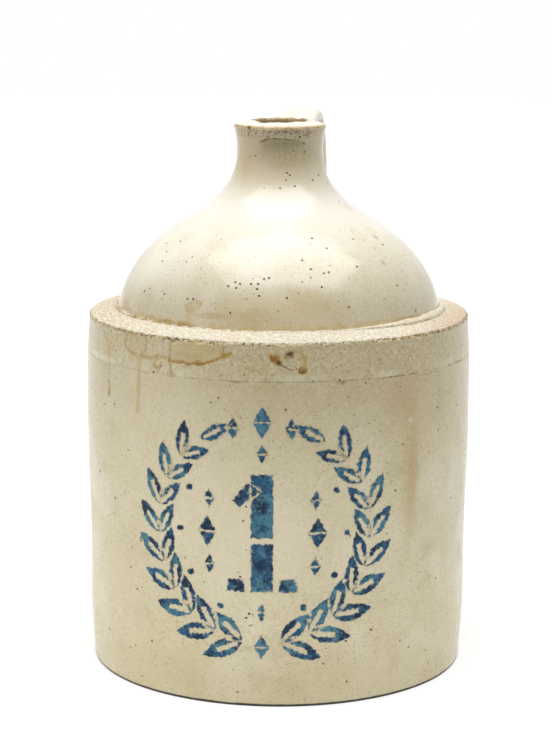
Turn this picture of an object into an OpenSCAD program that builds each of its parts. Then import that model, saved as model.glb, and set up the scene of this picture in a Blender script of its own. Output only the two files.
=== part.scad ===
// A one-gallon stoneware shoulder jug: a moulded body, a flat ledge, a domed top that draws in to
// a short neck, and a strap handle behind the neck. It stands on z = 0 with its axis along z.
// The handle is at +Y. Every joint between two pieces is face to face, as slip leaves it.

/* [Body] */
// Widest diameter of the body
body_d = 180.4; // [168:0.2:220]
// How far the foot draws in from the widest radius
foot_draw = 2.8; // [0:0.1:6]
// Height of the ledge's outer edge above the foot
body_h = 165; // [120:1:220]
// Thickness of the body's wall
wall_t = 8; // [6:0.5:11]
// Width of the ring that the jug stands on
foot_w = 9; // [6:0.5:14]
// Height of the floor's underside above the foot
foot_recess = 2; // [0.5:0.5:4]
// Thickness of the floor
floor_t = 9; // [6:0.5:14]
// Size of the cove between the floor and the wall
cove = 12; // [4:1:20]

/* [Shoulder] */
// Height of the shoulder ring's outer band
shoulder_h = 17.4; // [14:0.2:30]
// How far the ledge's outer edge draws in from the widest radius
ledge_draw = 1.2; // [0:0.1:4]
// Width of the ledge round the dome
ledge_w = 13.2; // [8:0.2:24]
// Rise of the ledge from its outer edge to the dome
ledge_rise = 2.4; // [0:0.1:6]
// Size of the rounding on the ledge's outer edge
ledge_round = 1.6; // [0.4:0.1:3]
// Thickness of the ring under the dome
seat_t = 8; // [5:0.5:11]
// Reach of the slip roll over the ledge
slip_w = 3.6; // [2:0.1:6]
// Height of the slip roll on the dome
slip_h = 2.6; // [1.5:0.1:4]

/* [Dome] */
// Rise from the ledge to the narrowest place of the neck
dome_rise = 72.6; // [50:0.2:110]
// Thickness of the dome
dome_t = 7.2; // [5:0.2:10]

/* [Neck] */
// Diameter of the neck at its narrowest place
neck_d = 40.6; // [36:0.2:52]
// Diameter of the mouth's bore
mouth_d = 25.4; // [18:0.2:28]
// Diameter of the lip's outer edge
lip_d = 43.6; // [40:0.2:60]
// Height of the lip's outer edge above the narrowest place
lip_h = 11.4; // [8:0.2:20]
// Rise of the lip's top from its outer edge to the mouth
lip_crown = 2.9; // [1:0.1:5]
// Size of the rounding on the lip's outer edge
lip_round = 1.2; // [0.4:0.1:2.5]
// Size of the rounding on the mouth's edge
mouth_round = 2; // [0.5:0.1:3]

/* [Handle] */
// Width of the strap at its middle
handle_w = 18.5; // [12:0.5:24]
// Width of the strap at its two ends
handle_end_w = 22; // [14:0.5:28]
// Thickness of the strap
handle_t = 9; // [6:0.5:11]
// Clear width for a finger between the neck and the strap
finger_w = 31.2; // [22:0.1:34]
// Rise of the strap's top above the mouth
handle_rise = 3.6; // [0:0.1:15]
// Height of the strap's upper end above the neck's narrowest place
handle_root_h = 3; // [-4:0.1:4]
// Length of the pad between the neck and the strap
upper_pad_l = 5.2; // [3:0.1:8]
// Height of the pad between the dome and the strap
lower_pad_h = 7; // [4:0.1:12]
// How far a pad spreads past the strap on each side
pad_spread = 4; // [1:0.1:6]

/* [Hidden] */
$fn = 144;

// How far the swell above the foot, the waist over it and the ring's joint lie inside the belly
swell_draw = 0.9;
waist_draw = 1.1;
joint_draw = 0.2;
// Places of the swell, the waist and the belly, as shares of the body wall's height
swell_share = 0.22;
waist_share = 0.36;
belly_share = 0.79;

// The dome's curve: how far its side leans in and runs up, and how far the neck runs down,
// as shares of the dome's radius and of its rise
lean_share = 0.134;
swell_up_share = 0.62;
neck_down_share = 0.468;
// Where the collar starts on that curve
collar_share = 0.8;
// The inner curve: how far it lies under the outer one at the shoulder, as a share of the dome's
// thickness, and how far the bore runs down, as a share of the dome piece's height
inner_drop_share = 0.9;
inner_down_share = 0.14;
// How far the slip roll bulges towards its corner
roll_share = 0.8;

// The strap: rise of its upper end, in degrees, how far out its top lies between the neck and its
// outermost face, how far down it is outermost, and how far it then splays, for its thickness
handle_root_angle = 34;
handle_top_share = 0.58;
handle_out_share = 0.46;
handle_splay_share = 0.25;
// How much of the way between two places of the strap each of its curves starts straight, and
// how much less its two ends do
pull_share = 0.55;
end_pull_share = 0.36;
// Roundness of the strap's section: 2 is an ellipse, and more is squarer
strap_power = 2.5;
// How deep a pad is made before the neck or the dome cuts it, as a share of its spread
pad_depth_share = 1.8;

// Steps along the outlines and round the strap
wall_steps = 26;
dome_steps = 24;
collar_steps = 8;
corner_steps = 5;
strap_steps = 8;
strap_sides = 28;
pad_steps = 6;

// Radii and heights that the pieces share
belly_r = body_d / 2;
base_r = belly_r - foot_draw;
ledge_r = belly_r - ledge_draw;
dome_r = ledge_r - ledge_w;
neck_r = neck_d / 2;
mouth_r = mouth_d / 2;
lip_r = lip_d / 2;
floor_r = base_r - foot_w;
floor_z = foot_recess + floor_t;
joint_z = body_h - shoulder_h;
seat_z = body_h + ledge_rise;
waist_z = seat_z + dome_rise;
lip_z = waist_z + lip_h;
top_z = lip_z + lip_crown;

function mix(a, b, t) = a + (b - a) * t;
function ease(t) = (1 - cos(180 * t)) / 2;
function unit(v) = v / norm(v);
function bezier(a, b, c, d, t) =
    pow(1 - t, 3) * a + 3 * pow(1 - t, 2) * t * b + 3 * (1 - t) * t * t * c + pow(t, 3) * d;
function bezier_run(a, b, c, d, t) =
    unit(pow(1 - t, 2) * (b - a) + 2 * (1 - t) * t * (c - b) + t * t * (d - c));

// The corner b of an outline that comes from a and goes on to c, rounded over the length r
function rounded(a, b, c, r) =
    let (start = b + r * unit(a - b), end = b + r * unit(c - b))
    [for (i = [0:corner_steps])
        let (t = i / corner_steps)
        mix(mix(start, b, t), mix(b, end, t), t)];

// Outer radius of the body at the height z: foot, swell, waist and belly, then in to the joint
swell_z = swell_share * joint_z;
middle_z = waist_share * joint_z;
belly_z = belly_share * joint_z;
function body_r(z) =
    z < swell_z ? mix(base_r, belly_r - swell_draw, sin(90 * z / swell_z)) :
    z < middle_z ? belly_r - mix(swell_draw, waist_draw, ease((z - swell_z) / (middle_z - swell_z))) :
    z < belly_z ? belly_r - mix(waist_draw, 0, ease((z - middle_z) / (belly_z - middle_z))) :
    belly_r - mix(0, joint_draw, ease((z - belly_z) / (joint_z - belly_z)));

// The dome's and the neck's outer side in one curve, from t = 0 on the ledge to t = 1 at the
// neck's narrowest place
function top_side(t) = bezier(
    [dome_r, seat_z],
    [dome_r * (1 - lean_share), seat_z + swell_up_share * dome_rise],
    [neck_r, waist_z - neck_down_share * dome_rise],
    [neck_r, waist_z],
    t);
dome_side = [for (i = [0:dome_steps]) top_side(collar_share * i / dome_steps)];
collar_z = dome_side[dome_steps].y;

// The dome's inner side, which runs down from the mouth's bore
function dome_inside(t) = bezier(
    [dome_r - dome_t, seat_z],
    [dome_r * (1 - lean_share) - dome_t,
        seat_z + swell_up_share * dome_rise - inner_drop_share * dome_t],
    [mouth_r, mix(collar_z, seat_z, inner_down_share)],
    [mouth_r, collar_z],
    t);

// The collar's outer side, with the neck's hollow, the flare under the lip and the lip's top
collar_side = concat(
    [for (i = [0:collar_steps]) top_side(mix(collar_share, 1, i / collar_steps))],
    [for (i = [1:collar_steps - 1])
        let (t = i / collar_steps)
        [mix(neck_r, lip_r, 1 - cos(90 * t)), mix(waist_z, lip_z, t)]],
    rounded([lip_r, waist_z], [lip_r, lip_z], [mouth_r, top_z], lip_round));

// The ledge, from its outer edge to the dome's foot
ledge_edge = [ledge_r, body_h];
dome_foot = [dome_r, seat_z];
joint_edge = [belly_r - joint_draw, joint_z];

// A ring of the strap's section at the place p = [y, z], square to the run d, w wide and t thick
function strap_ring(p, d, w, t) = [for (i = [0:strap_sides - 1])
    let (a = 360 * i / strap_sides,
        across = w / 2 * sign(cos(a)) * pow(abs(cos(a)), 2 / strap_power),
        over = t / 2 * sign(sin(a)) * pow(abs(sin(a)), 2 / strap_power))
    [across, p.x - over * d.y, p.y + over * d.x]];

// A solid through a list of rings, closed at both ends
module through_rings(rings) {
    last = len(rings) - 1;
    n = len(rings[0]);
    polyhedron(
        points = [for (ring = rings) for (p = ring) p],
        faces = concat(
            [[for (i = [0:n - 1]) i]],
            [for (k = [0:last - 1]) for (i = [0:n - 1])
                [k * n + i, (k + 1) * n + i, (k + 1) * n + (i + 1) % n]],
            [for (k = [0:last - 1]) for (i = [0:n - 1])
                [k * n + i, (k + 1) * n + (i + 1) % n, k * n + (i + 1) % n]],
            [[for (i = [n - 1:-1:0]) last * n + i]]));
}

// Places of the strap's centre line, as [y, z]: its upper end, its top, its outermost place and
// its lower end over the dome
strap_out_y = neck_r + finger_w + handle_t / 2;
strap_foot_y = strap_out_y + handle_splay_share * handle_t;
strap_root = [neck_r + upper_pad_l, waist_z + handle_root_h];
strap_top = [neck_r + handle_top_share * (finger_w + handle_t), top_z + handle_rise - handle_t / 2];
strap_foot = [strap_foot_y, lookup(strap_foot_y, dome_side) + lower_pad_h];
strap_out = [strap_out_y, mix(strap_top.y, strap_foot.y, handle_out_share)];
root_run = [cos(handle_root_angle), sin(handle_root_angle)];
foot_run = unit([2 * (strap_foot_y - strap_out_y), strap_foot.y - strap_out.y]);

// The strap's curves between those places, each with the pull of its two ends
strap_spans = [
    [strap_root,
        strap_root + end_pull_share * norm(strap_top - strap_root) * root_run,
        strap_top - [pull_share * (strap_top.x - strap_root.x), 0],
        strap_top],
    [strap_top,
        strap_top + [pull_share * (strap_out.x - strap_top.x), 0],
        strap_out + [0, pull_share * (strap_top.y - strap_out.y)],
        strap_out],
    [strap_out,
        strap_out - [0, end_pull_share * (strap_out.y - strap_foot.y)],
        strap_foot - end_pull_share * norm(strap_out - strap_foot) * foot_run,
        strap_foot]];

// Width of the strap at the share s of its length: widest at its two ends
function strap_w(s) = mix(handle_w, handle_end_w, pow(2 * s - 1, 2));

// The outline of a pad from the strap's end at p, back along the run d to the depth given
module pad(p, d, depth) {
    through_rings([for (i = [0:pad_steps])
        let (t = i / pad_steps,
            spread = 2 * pad_spread * t * t)
        strap_ring(p - depth * t * d, d, handle_end_w + spread, handle_t + spread)]);
}

// The dome, the neck and the lip as one solid form with no hollow, which shapes the pads' feet
module top_form() {
    rotate_extrude()
        polygon(concat([[0, seat_z]], dome_side, collar_side, [[0, top_z]]));
}

module body_wall() {
    color("#cdc6ab") rotate_extrude() polygon(concat(
        [for (i = [0:wall_steps])
            let (z = joint_z * i / wall_steps)
            [body_r(z), z]],
        [for (i = [wall_steps:-1:0])
            let (z = mix(floor_z + cove, joint_z, i / wall_steps))
            [body_r(z) - wall_t, z]],
        [for (i = [corner_steps:-1:0])
            rounded([0, floor_z], [body_r(floor_z + cove) - wall_t, floor_z],
                [body_r(floor_z + cove) - wall_t, joint_z], cove)[i]],
        [[floor_r, floor_z], [floor_r, 0]]));
}

module base_disc() {
    color("#bdb292") translate([0, 0, foot_recess]) cylinder(r = floor_r, h = floor_t);
}

module shoulder_ring() {
    inside = joint_edge.x - wall_t;
    color("#e6dcc8") rotate_extrude() polygon(concat(
        [joint_edge],
        rounded(joint_edge, ledge_edge, dome_foot, ledge_round),
        [dome_foot, [dome_r - dome_t, seat_z], [dome_r - dome_t, seat_z - seat_t]],
        rounded([dome_r - dome_t, seat_z - seat_t], [inside, seat_z - seat_t],
            [inside, joint_z], (inside - dome_r + dome_t) / 2),
        [[inside, joint_z]]));
}

module dome_top() {
    color("#d8d1b8") rotate_extrude() polygon(concat(
        dome_side,
        [for (i = [dome_steps:-1:0]) dome_inside(i / dome_steps)]));
}

module neck_collar() {
    color("#ddd6be") rotate_extrude() polygon(concat(
        collar_side,
        rounded([lip_r, lip_z], [mouth_r, top_z], [mouth_r, collar_z], mouth_round),
        [[mouth_r, collar_z]]));
}

module shoulder_seam_slip() {
    on_dome = mix(dome_foot, dome_side[1], slip_h / (dome_side[1].y - seat_z));
    on_ledge = dome_foot + slip_w * unit(ledge_edge - dome_foot);
    bulge = mix(mix(on_dome, on_ledge, 0.5), [on_ledge.x, on_dome.y], roll_share);
    color("#cbbf9f") rotate_extrude() polygon(concat(
        [dome_foot],
        [for (i = [0:corner_steps])
            let (t = i / corner_steps)
            mix(mix(on_ledge, bulge, t), mix(bulge, on_dome, t), t)]));
}

module handle_strap() {
    color("#d8d1b8") through_rings([for (k = [0:len(strap_spans) - 1])
        for (i = [k == 0 ? 0 : 1:strap_steps])
            let (t = i / strap_steps,
                span = strap_spans[k])
            strap_ring(
                bezier(span[0], span[1], span[2], span[3], t),
                bezier_run(span[0], span[1], span[2], span[3], t),
                strap_w((k + t) / len(strap_spans)),
                handle_t)]);
}

module handle_upper_pad() {
    color("#d3ccb2") difference() {
        pad(strap_root, root_run, upper_pad_l + pad_depth_share * pad_spread);
        top_form();
    }
}

module handle_lower_pad() {
    color("#d3ccb2") difference() {
        pad(strap_foot, -foot_run, lower_pad_h + pad_depth_share * pad_spread);
        top_form();
    }
}

body_wall();
base_disc();
shoulder_ring();
dome_top();
neck_collar();
shoulder_seam_slip();
handle_strap();
handle_upper_pad();
handle_lower_pad();
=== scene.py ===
"""The stoneware crock jug: its clay pieces, glazes and blue mark, the studio and the camera.

Lengths are in metres, in the jug's own frame: it stands on z = 0, its axis is z, the marked
front faces -Y and the handle is at +Y. The tables of marks and chips and the sizes of the
glazes' patterns are in millimetres.
"""

import logging
import math
import random
from collections import Counter
from contextlib import contextmanager
from dataclasses import dataclass, replace
from enum import Enum
from functools import reduce
from typing import Any, Callable, Iterable, Iterator, Sequence

import bpy
import numpy as np
from mathutils import Matrix, Vector, noise
from mathutils.kdtree import KDTree


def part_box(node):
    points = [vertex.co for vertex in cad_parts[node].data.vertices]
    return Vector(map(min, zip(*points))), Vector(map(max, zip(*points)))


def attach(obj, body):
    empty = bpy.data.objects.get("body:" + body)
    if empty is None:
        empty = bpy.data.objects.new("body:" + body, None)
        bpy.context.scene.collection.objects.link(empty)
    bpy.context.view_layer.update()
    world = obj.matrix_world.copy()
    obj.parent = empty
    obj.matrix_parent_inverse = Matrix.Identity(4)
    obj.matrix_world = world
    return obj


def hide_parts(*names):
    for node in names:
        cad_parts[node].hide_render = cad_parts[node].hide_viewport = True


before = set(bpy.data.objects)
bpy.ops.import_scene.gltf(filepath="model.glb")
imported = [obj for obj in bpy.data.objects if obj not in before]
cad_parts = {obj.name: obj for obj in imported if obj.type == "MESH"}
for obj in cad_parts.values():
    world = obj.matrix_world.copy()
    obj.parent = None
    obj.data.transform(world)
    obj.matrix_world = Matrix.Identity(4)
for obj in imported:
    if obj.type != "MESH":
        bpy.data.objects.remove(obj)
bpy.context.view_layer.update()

MM = 0.001
MERGE = MM / 200
SMOOTH_ANGLE = math.radians(38)
# How far apart the noises of two seeds are read
NOISE_STEPS = (17.3, -9.1, 5.7)
SPECK_BEND = 1.1
DOT_R = 0.72
DOT_DEPTH = 0.2 * MM
INWARD = "inward"
BODY = "root"
UP = Vector((0, 0, 1))
Array = np.ndarray
Piece = bpy.types.Object
Material = bpy.types.Material
Source = bpy.types.Node | bpy.types.NodeSocket | float
log = logging.getLogger("jug")

# Sockets of a colour mix, which has others of the same names
MIX_FACTOR, MIX_UNDER, MIX_OVER, MIX_RESULT = 0, 6, 7, 2


class Slot(Enum):
    """The record's material slots."""

    BODY = "glazed_body"
    TOP = "glazed_top"
    CLAY = "bare_clay"
    COBALT = "cobalt_mark"


class Edge(Enum):
    """How a stain fades: (share of its half size, weight) pairs from its middle outwards."""

    SOFT = ((0.0, 1.0), (0.45, 0.7), (1.0, 0.0))
    CRISP = ((0.72, 1.0), (1.0, 0.0))
    BROAD = ((0.0, 1.0), (0.6, 0.9), (1.0, 0.0))
    TIDE = ((0.0, 0.35), (0.74, 0.45), (0.9, 1.0), (1.0, 0.0))
    RING = ((0.74, 0.0), (0.88, 1.0), (1.0, 0.0))


def linear(hex_colour: str) -> tuple[float, float, float, float]:
    """Turns an sRGB hex colour into linear RGBA.

    Args:
        hex_colour: The colour, as #rrggbb.

    Returns:
        Its red, green and blue, and an alpha of 1.
    """
    levels = [int(hex_colour[i:i + 2], 16) / 255 for i in (1, 3, 5)]
    low, span, power = 0.04045, 1.055, 2.4
    return (*(v / 12.92 if v <= low else ((v + span - 1) / span) ** power for v in levels), 1.0)


def mix(a: float, b: float, share: float) -> float:
    """A value the given share of the way from a to b."""
    return a + (b - a) * share


def ease(share: float) -> float:
    """A share from 0 to 1, eased at both ends."""
    return (1 - math.cos(math.pi * share)) / 2


def step_up(low: float, high: float, values: Array | float) -> Array | float:
    """0 below low, 1 above high and smooth between them."""
    share = np.clip((values - low) / (high - low), 0, 1)
    return share * share * (3 - 2 * share)


def bezier(a: Vector, b: Vector, c: Vector, d: Vector, t: float) -> Vector:
    """The point at t on the cubic curve from a to d."""
    u = 1 - t
    return u ** 3 * a + 3 * u * u * t * b + 3 * u * t * t * c + t ** 3 * d


def shares(steps: int) -> list[float]:
    """The shares from 0 to 1, in equal steps."""
    return [i / steps for i in range(steps + 1)]


def rounded(a: Vector, corner: Vector, b: Vector, size: float, steps: int = 6) -> list[Vector]:
    """An outline's corner, rounded over the length size on each side.

    Args:
        a: The outline's point before the corner.
        corner: The corner itself.
        b: The point after it.
        size: Length that the rounding takes of each side.
        steps: Number of short edges in the rounding.

    Returns:
        The points of the rounding.
    """
    start = corner + size * (a - corner).normalized()
    end = corner + size * (b - corner).normalized()
    return [start.lerp(corner, t).lerp(corner.lerp(end, t), t) for t in shares(steps)]


def spaced(outline: Sequence[Vector], spacing: float) -> list[Vector]:
    """Adds points to an outline.

    Args:
        outline: Its points.
        spacing: The furthest that neighbours may lie apart.

    Returns:
        All its points, old and new.
    """
    points = [outline[0]]
    for a, b in zip(outline, outline[1:]):
        cuts = max(1, math.ceil((b - a).length / spacing))
        points += [a.lerp(b, (i + 1) / cuts) for i in range(cuts)]
    return points


def from_axis(places: Array) -> Array:
    """Each place's distance from the jug's axis."""
    return np.hypot(places[:, 0], places[:, 1])


class Side:
    """A side of revolution, which gives its radius at any height."""

    def __init__(self, points: Iterable[Vector]) -> None:
        """Keeps rising (radius, height) points."""
        self.radii, self.heights = np.array([tuple(p) for p in points]).T

    def radius(self, z: Array | float) -> Array | float:
        """The side's radius at a height, and a negative one past its ends."""
        return np.interp(z, self.heights, self.radii, left=-1, right=-1)


@dataclass(frozen=True)
class Photo:
    """The camera that took the photograph, fitted to the jug's outline there.

    Its pixels are placed on side, the jug's whole outer side.
    """

    side: Side
    width: int = 552
    height: int = 756
    focal: float = 2201.0
    distance: float = 1020.8 * MM
    eye_z: float = 332.7 * MM
    azimuth: float = math.radians(14.0)
    pitch: float = math.radians(11.115)
    yaw: float = math.radians(-0.063)
    roll: float = math.radians(0.344)
    sensor: float = 36.0
    near: float = 0.05
    far: float = 50.0
    search: float = 0.2
    search_step: float = 0.1 * MM

    def eye(self) -> Vector:
        """Where the camera stands."""
        return Vector((math.sin(self.azimuth) * self.distance,
                       -math.cos(self.azimuth) * self.distance, self.eye_z))

    def turn(self) -> Matrix:
        """The camera's right, up and backward directions.

        Returns:
            A matrix with them for its columns.
        """
        about_z = Matrix.Rotation(self.azimuth - self.yaw, 3, "Z")
        tip = Matrix.Rotation(math.pi / 2 - self.pitch, 3, "X")
        return about_z @ tip @ Matrix.Rotation(self.roll, 3, "Z")

    def sight(self, x: float, y: float) -> Vector:
        """The direction in which the photograph's pixel (x, y) looks."""
        across, down = x - self.width / 2, y - self.height / 2
        return (self.turn() @ Vector((across, -down, -self.focal))).normalized()

    def point_on(self, x: float, y: float) -> Vector:
        """Where the sight through a pixel first meets the jug.

        Args:
            x: Pixel across the photograph.
            y: Pixel down the photograph.

        Returns:
            The point on the jug's skin.
        """
        reach = np.arange(self.distance - self.search, self.distance + self.search,
                          self.search_step)
        line = np.array(self.eye()) + reach[:, None] * np.array(self.sight(x, y))
        inside = from_axis(line) < self.side.radius(line[:, 2])
        if not inside.any():
            raise ValueError(f"pixel {x}, {y} misses the jug")
        return Vector(line[np.argmax(inside)])

    def place_camera(self) -> None:
        """Makes the scene's camera."""
        lens = bpy.data.cameras.new("photo_camera")
        lens.sensor_width = self.sensor
        lens.lens = self.focal * self.sensor / self.height
        lens.clip_start, lens.clip_end = self.near, self.far
        camera = bpy.data.objects.new("photo_camera", lens)
        camera.matrix_world = Matrix.Translation(self.eye()) @ self.turn().to_4x4()
        bpy.context.scene.collection.objects.link(camera)
        bpy.context.scene.camera = camera


@dataclass(frozen=True)
class JugSizes:
    """Radii and heights that the pieces share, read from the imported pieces' boxes."""

    belly_r: float
    joint_r: float
    joint_z: float
    dome_r: float
    seat_z: float
    collar_z: float
    top_z: float
    floor_r: float
    recess_z: float
    floor_z: float
    ledge_draw: float = 1.2 * MM
    ledge_rise: float = 2.4 * MM
    dome_rise: float = 72.6 * MM
    neck_r: float = 20.3 * MM
    mouth_r: float = 12.7 * MM
    lip_r: float = 21.8 * MM
    lip_crown: float = 2.4 * MM
    lip_lift: float = 0.5 * MM
    wall: float = 8 * MM
    dome_wall: float = 7.2 * MM
    top_lean: float = 0.134
    top_swell: float = 0.62
    neck_down: float = 0.468
    joint_in: float = 0.1 * MM
    joint_up: float = 0.2 * MM
    seam_cut: float = 0.16 * MM

    @classmethod
    def from_frame(cls) -> "JugSizes":
        """Reads the sizes from the frame."""
        wall, ring, dome, collar, disc = (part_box(node)[1] for node in (
            "body_wall", "shoulder_ring", "dome_top", "neck_collar", "base_disc"))
        return cls(
            belly_r=wall.x, joint_z=wall.z, joint_r=ring.x, seat_z=ring.z,
            dome_r=dome.x, collar_z=dome.z, top_z=collar.z,
            floor_r=disc.x, recess_z=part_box("base_disc")[0].z, floor_z=disc.z)

    @property
    def ledge_r(self) -> float:
        """Radius of the ledge's outer edge."""
        return self.belly_r - self.ledge_draw

    @property
    def ledge_z(self) -> float:
        """Height of the ledge's outer edge."""
        return self.seat_z - self.ledge_rise

    @property
    def waist_z(self) -> float:
        """Height of the neck's narrowest place."""
        return self.seat_z + self.dome_rise

    @property
    def lip_z(self) -> float:
        """Height of the lip's outer edge."""
        return self.top_z - self.lip_crown

    def top_side(self, t: float) -> Vector:
        """The curve of the dome and neck.

        Args:
            t: Place along it, from the ledge at 0 to the neck's waist at 1.

        Returns:
            The radius and height there.
        """
        return bezier(
            Vector((self.dome_r, self.seat_z)),
            Vector((self.dome_r * (1 - self.top_lean),
                    self.seat_z + self.top_swell * self.dome_rise)),
            Vector((self.neck_r, self.waist_z - self.neck_down * self.dome_rise)),
            Vector((self.neck_r, self.waist_z)), t)

    def top_points(self, steps: int) -> list[Vector]:
        """That curve's points, in equal steps."""
        return [self.top_side(t) for t in shares(steps)]

    def opened(self, places: Array) -> Array:
        """How far the seam between wall and ring is open at each place."""
        return self.seam_cut * step_up(-0.2, 0.5, noise_at(places, 12 * MM, 4))


def select(*pieces: Piece) -> None:
    """Selects these pieces alone, the first of them active."""
    bpy.ops.object.select_all(action="DESELECT")
    for piece in reversed(pieces):
        piece.select_set(True)
        bpy.context.view_layer.objects.active = piece


def started(add: Callable[..., Any], name: str = "flat_shape", **settings: Any) -> Piece:
    """Adds a primitive, with nothing else selected.

    Args:
        add: The operator that adds it.
        name: The name that it gets.
        settings: The operator's settings.

    Returns:
        The new piece.
    """
    select()
    add(**settings)
    piece = bpy.context.object
    piece.name = piece.data.name = name
    return piece


@contextmanager
def editing() -> Iterator[None]:
    """Edit mode for the lines inside, and object mode after them."""
    bpy.ops.object.mode_set(mode="EDIT")
    yield
    bpy.ops.object.mode_set(mode="OBJECT")


def merge_doubles() -> None:
    """Merges the doubles of the piece in edit mode, and leaves it selected all over."""
    bpy.ops.mesh.select_all(action="SELECT")
    bpy.ops.mesh.remove_doubles(threshold=MERGE)


def apply(modifier: bpy.types.Modifier, **settings: Any) -> None:
    """Gives the active piece's modifier its settings and applies it."""
    for key, value in settings.items():
        setattr(modifier, key, value)
    bpy.ops.object.modifier_apply(modifier=modifier.name)


def spin_outline(name: str, outline: Sequence[Vector], steps: int) -> Piece:
    """Draws an outline with extruded edges and spins it about the jug's axis.

    Args:
        name: The piece's name.
        outline: Points as (radius, height), all round the piece's section. Where both its
            ends lie on the axis it stays open there, and the spin closes it.
        steps: Number of faces round the jug.

    Returns:
        The closed piece.
    """
    piece = started(bpy.ops.mesh.primitive_plane_add, name, size=MM)
    first = outline[0]
    on_axis = max(first.x, outline[-1].x) < MERGE
    path = list(outline) if on_axis else [*outline, first]
    with editing():
        bpy.ops.mesh.merge(type="CENTER")
        bpy.ops.transform.translate(value=(first.x, 0, first.y))
        for a, b in zip(path, path[1:]):
            step = (b.x - a.x, 0, b.y - a.y)
            bpy.ops.mesh.extrude_region_move(TRANSFORM_OT_translate={"value": step})
        merge_doubles()
    apply(piece.modifiers.new("lathe", "SCREW"), axis="Z", angle=math.tau, screw_offset=0,
          steps=steps, render_steps=steps, use_merge_vertices=True, merge_threshold=MERGE)
    with editing():
        merge_doubles()
        bpy.ops.mesh.normals_make_consistent(inside=False)
    return piece


def noise_at(points: Array, size: float, seed: int) -> Array:
    """Smooth noise from -1 to 1.

    Args:
        points: Places, one a row.
        size: Distance between one swell and the next.
        seed: Which noise it is.

    Returns:
        One value a place.
    """
    away = Vector([seed * step for step in NOISE_STEPS])
    return np.array([noise.noise(Vector(p) / size + away) for p in points])


def shape(piece: Piece, mover: Callable[[Array], None]) -> None:
    """Moves a piece's vertices as a potter's hand or the kiln did.

    Args:
        piece: The piece.
        mover: Takes the places of all vertices, one a row, and changes them.
    """
    mesh = piece.data
    places = np.zeros(len(mesh.vertices) * 3)
    mesh.vertices.foreach_get("co", places)
    mover(places.reshape(-1, 3))
    mesh.vertices.foreach_set("co", places)
    mesh.update()


def push_in(places: Array, depth: Array) -> None:
    """Moves each place towards the jug's axis by its depth."""
    radii = from_axis(places)
    places[:, :2] *= ((radii - depth) / np.maximum(radii, MM))[:, None]


@dataclass(frozen=True)
class HandWaves:
    """How far clay and kiln pulled the skin in: broad waves, small dents and a base depth."""

    base: float = 0.10 * MM
    broad: float = 0.34 * MM
    broad_size: float = 62 * MM
    small: float = 0.10 * MM
    small_size: float = 15 * MM
    turning: float = 0.07 * MM
    turning_size: float = 7 * MM
    turning_share: float = 0.08

    def depth(self, places: Array, outer: Array) -> Array:
        """How far the skin is pushed in.

        Args:
            places: Places of a piece, one a row.
            outer: Which of them lie on its outer skin. The others stay.

        Returns:
            One depth a place.
        """
        skin = places[outer]
        level = skin * (self.turning_share, self.turning_share, 1)
        waves = ((self.broad, skin, self.broad_size), (self.small, skin, self.small_size),
                 (self.turning, level, self.turning_size))
        depth = np.zeros(len(places))
        depth[outer] = self.base
        for seed, (height, spots, size) in enumerate(waves, 1):
            depth[outer] += height * (1 + noise_at(spots, size, seed)) / 2
        return depth


@dataclass(frozen=True)
class Bite:
    """A chip, dent or nick: an ellipsoid in which the clay is pushed in."""

    centre: Vector
    wide: float
    high: float
    deep: float

    def depth(self, places: Array) -> Array:
        """How far the bite pushes the clay in.

        Args:
            places: Places, one a row.

        Returns:
            One depth a place.
        """
        out = Vector((self.centre.x, self.centre.y, 0)).normalized()
        along = out.cross(UP)
        away = places - np.array(self.centre)
        across = away @ np.array(along) / self.wide
        up = away[:, 2] / self.high
        through = away @ np.array(out) / max(self.wide, self.high)
        return self.deep * np.clip(1 - across ** 2 - up ** 2 - through ** 2, 0, 1)


def dress(piece: Piece, slot: Slot, materials: Sequence[Material], *nodes: str) -> None:
    """Gives a finished piece its materials and its place in the frame.

    Args:
        piece: The piece.
        slot: The record's slot for the piece; not used.
        materials: Its materials, the main one first.
        nodes: The CAD nodes that it stands for.
    """
    for material in materials:
        piece.data.materials.append(material)
    select(piece)
    bpy.ops.object.shade_smooth_by_angle(angle=SMOOTH_ANGLE)
    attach(piece, BODY)
    if nodes:
        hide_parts(*nodes)
    log.info("%s: %d faces", piece.name, len(piece.data.polygons))


def paint_faces(piece: Piece, index: int, chosen: Callable[[float, float], bool]) -> None:
    """Gives some faces another of the piece's materials.

    Args:
        piece: The dressed piece.
        index: The material's place among the piece's materials.
        chosen: Says by a face's distance from the axis and its height whether it is one.
    """
    for face in piece.data.polygons:
        centre = face.center
        if chosen(math.hypot(centre.x, centre.y), centre.z):
            face.material_index = index


@dataclass(frozen=True)
class Mark:
    """A stain or burn, or a patch of painted shade, at a pixel of the photograph, with its real
    size in millimetres.

    Args:
        x: Pixel across the photograph of its middle.
        y: Pixel down the photograph of its middle.
        wide: Size along the surface, level.
        high: Size upwards.
        ink: Colour that it turns the glaze to.
        weight: How strongly, from 0 to 1.
        edge: How it fades.
        tilt: Turn in the surface, in degrees.
    """

    x: float
    y: float
    wide: float
    high: float
    ink: str
    weight: float
    edge: Edge = Edge.SOFT
    tilt: float = 0.0


@dataclass(frozen=True)
class Run:
    """A line through pixels of the photograph: where liquid ran or dried, and also the painted
    shadow line under the neck's dent.

    Args:
        pixels: Its points in the photograph.
        wide: Its real width in millimetres.
        ink: Colour that it turns the glaze to.
        weight: How strongly, from 0 to 1.
    """

    pixels: tuple[tuple[float, float], ...]
    wide: float
    ink: str
    weight: float


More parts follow.
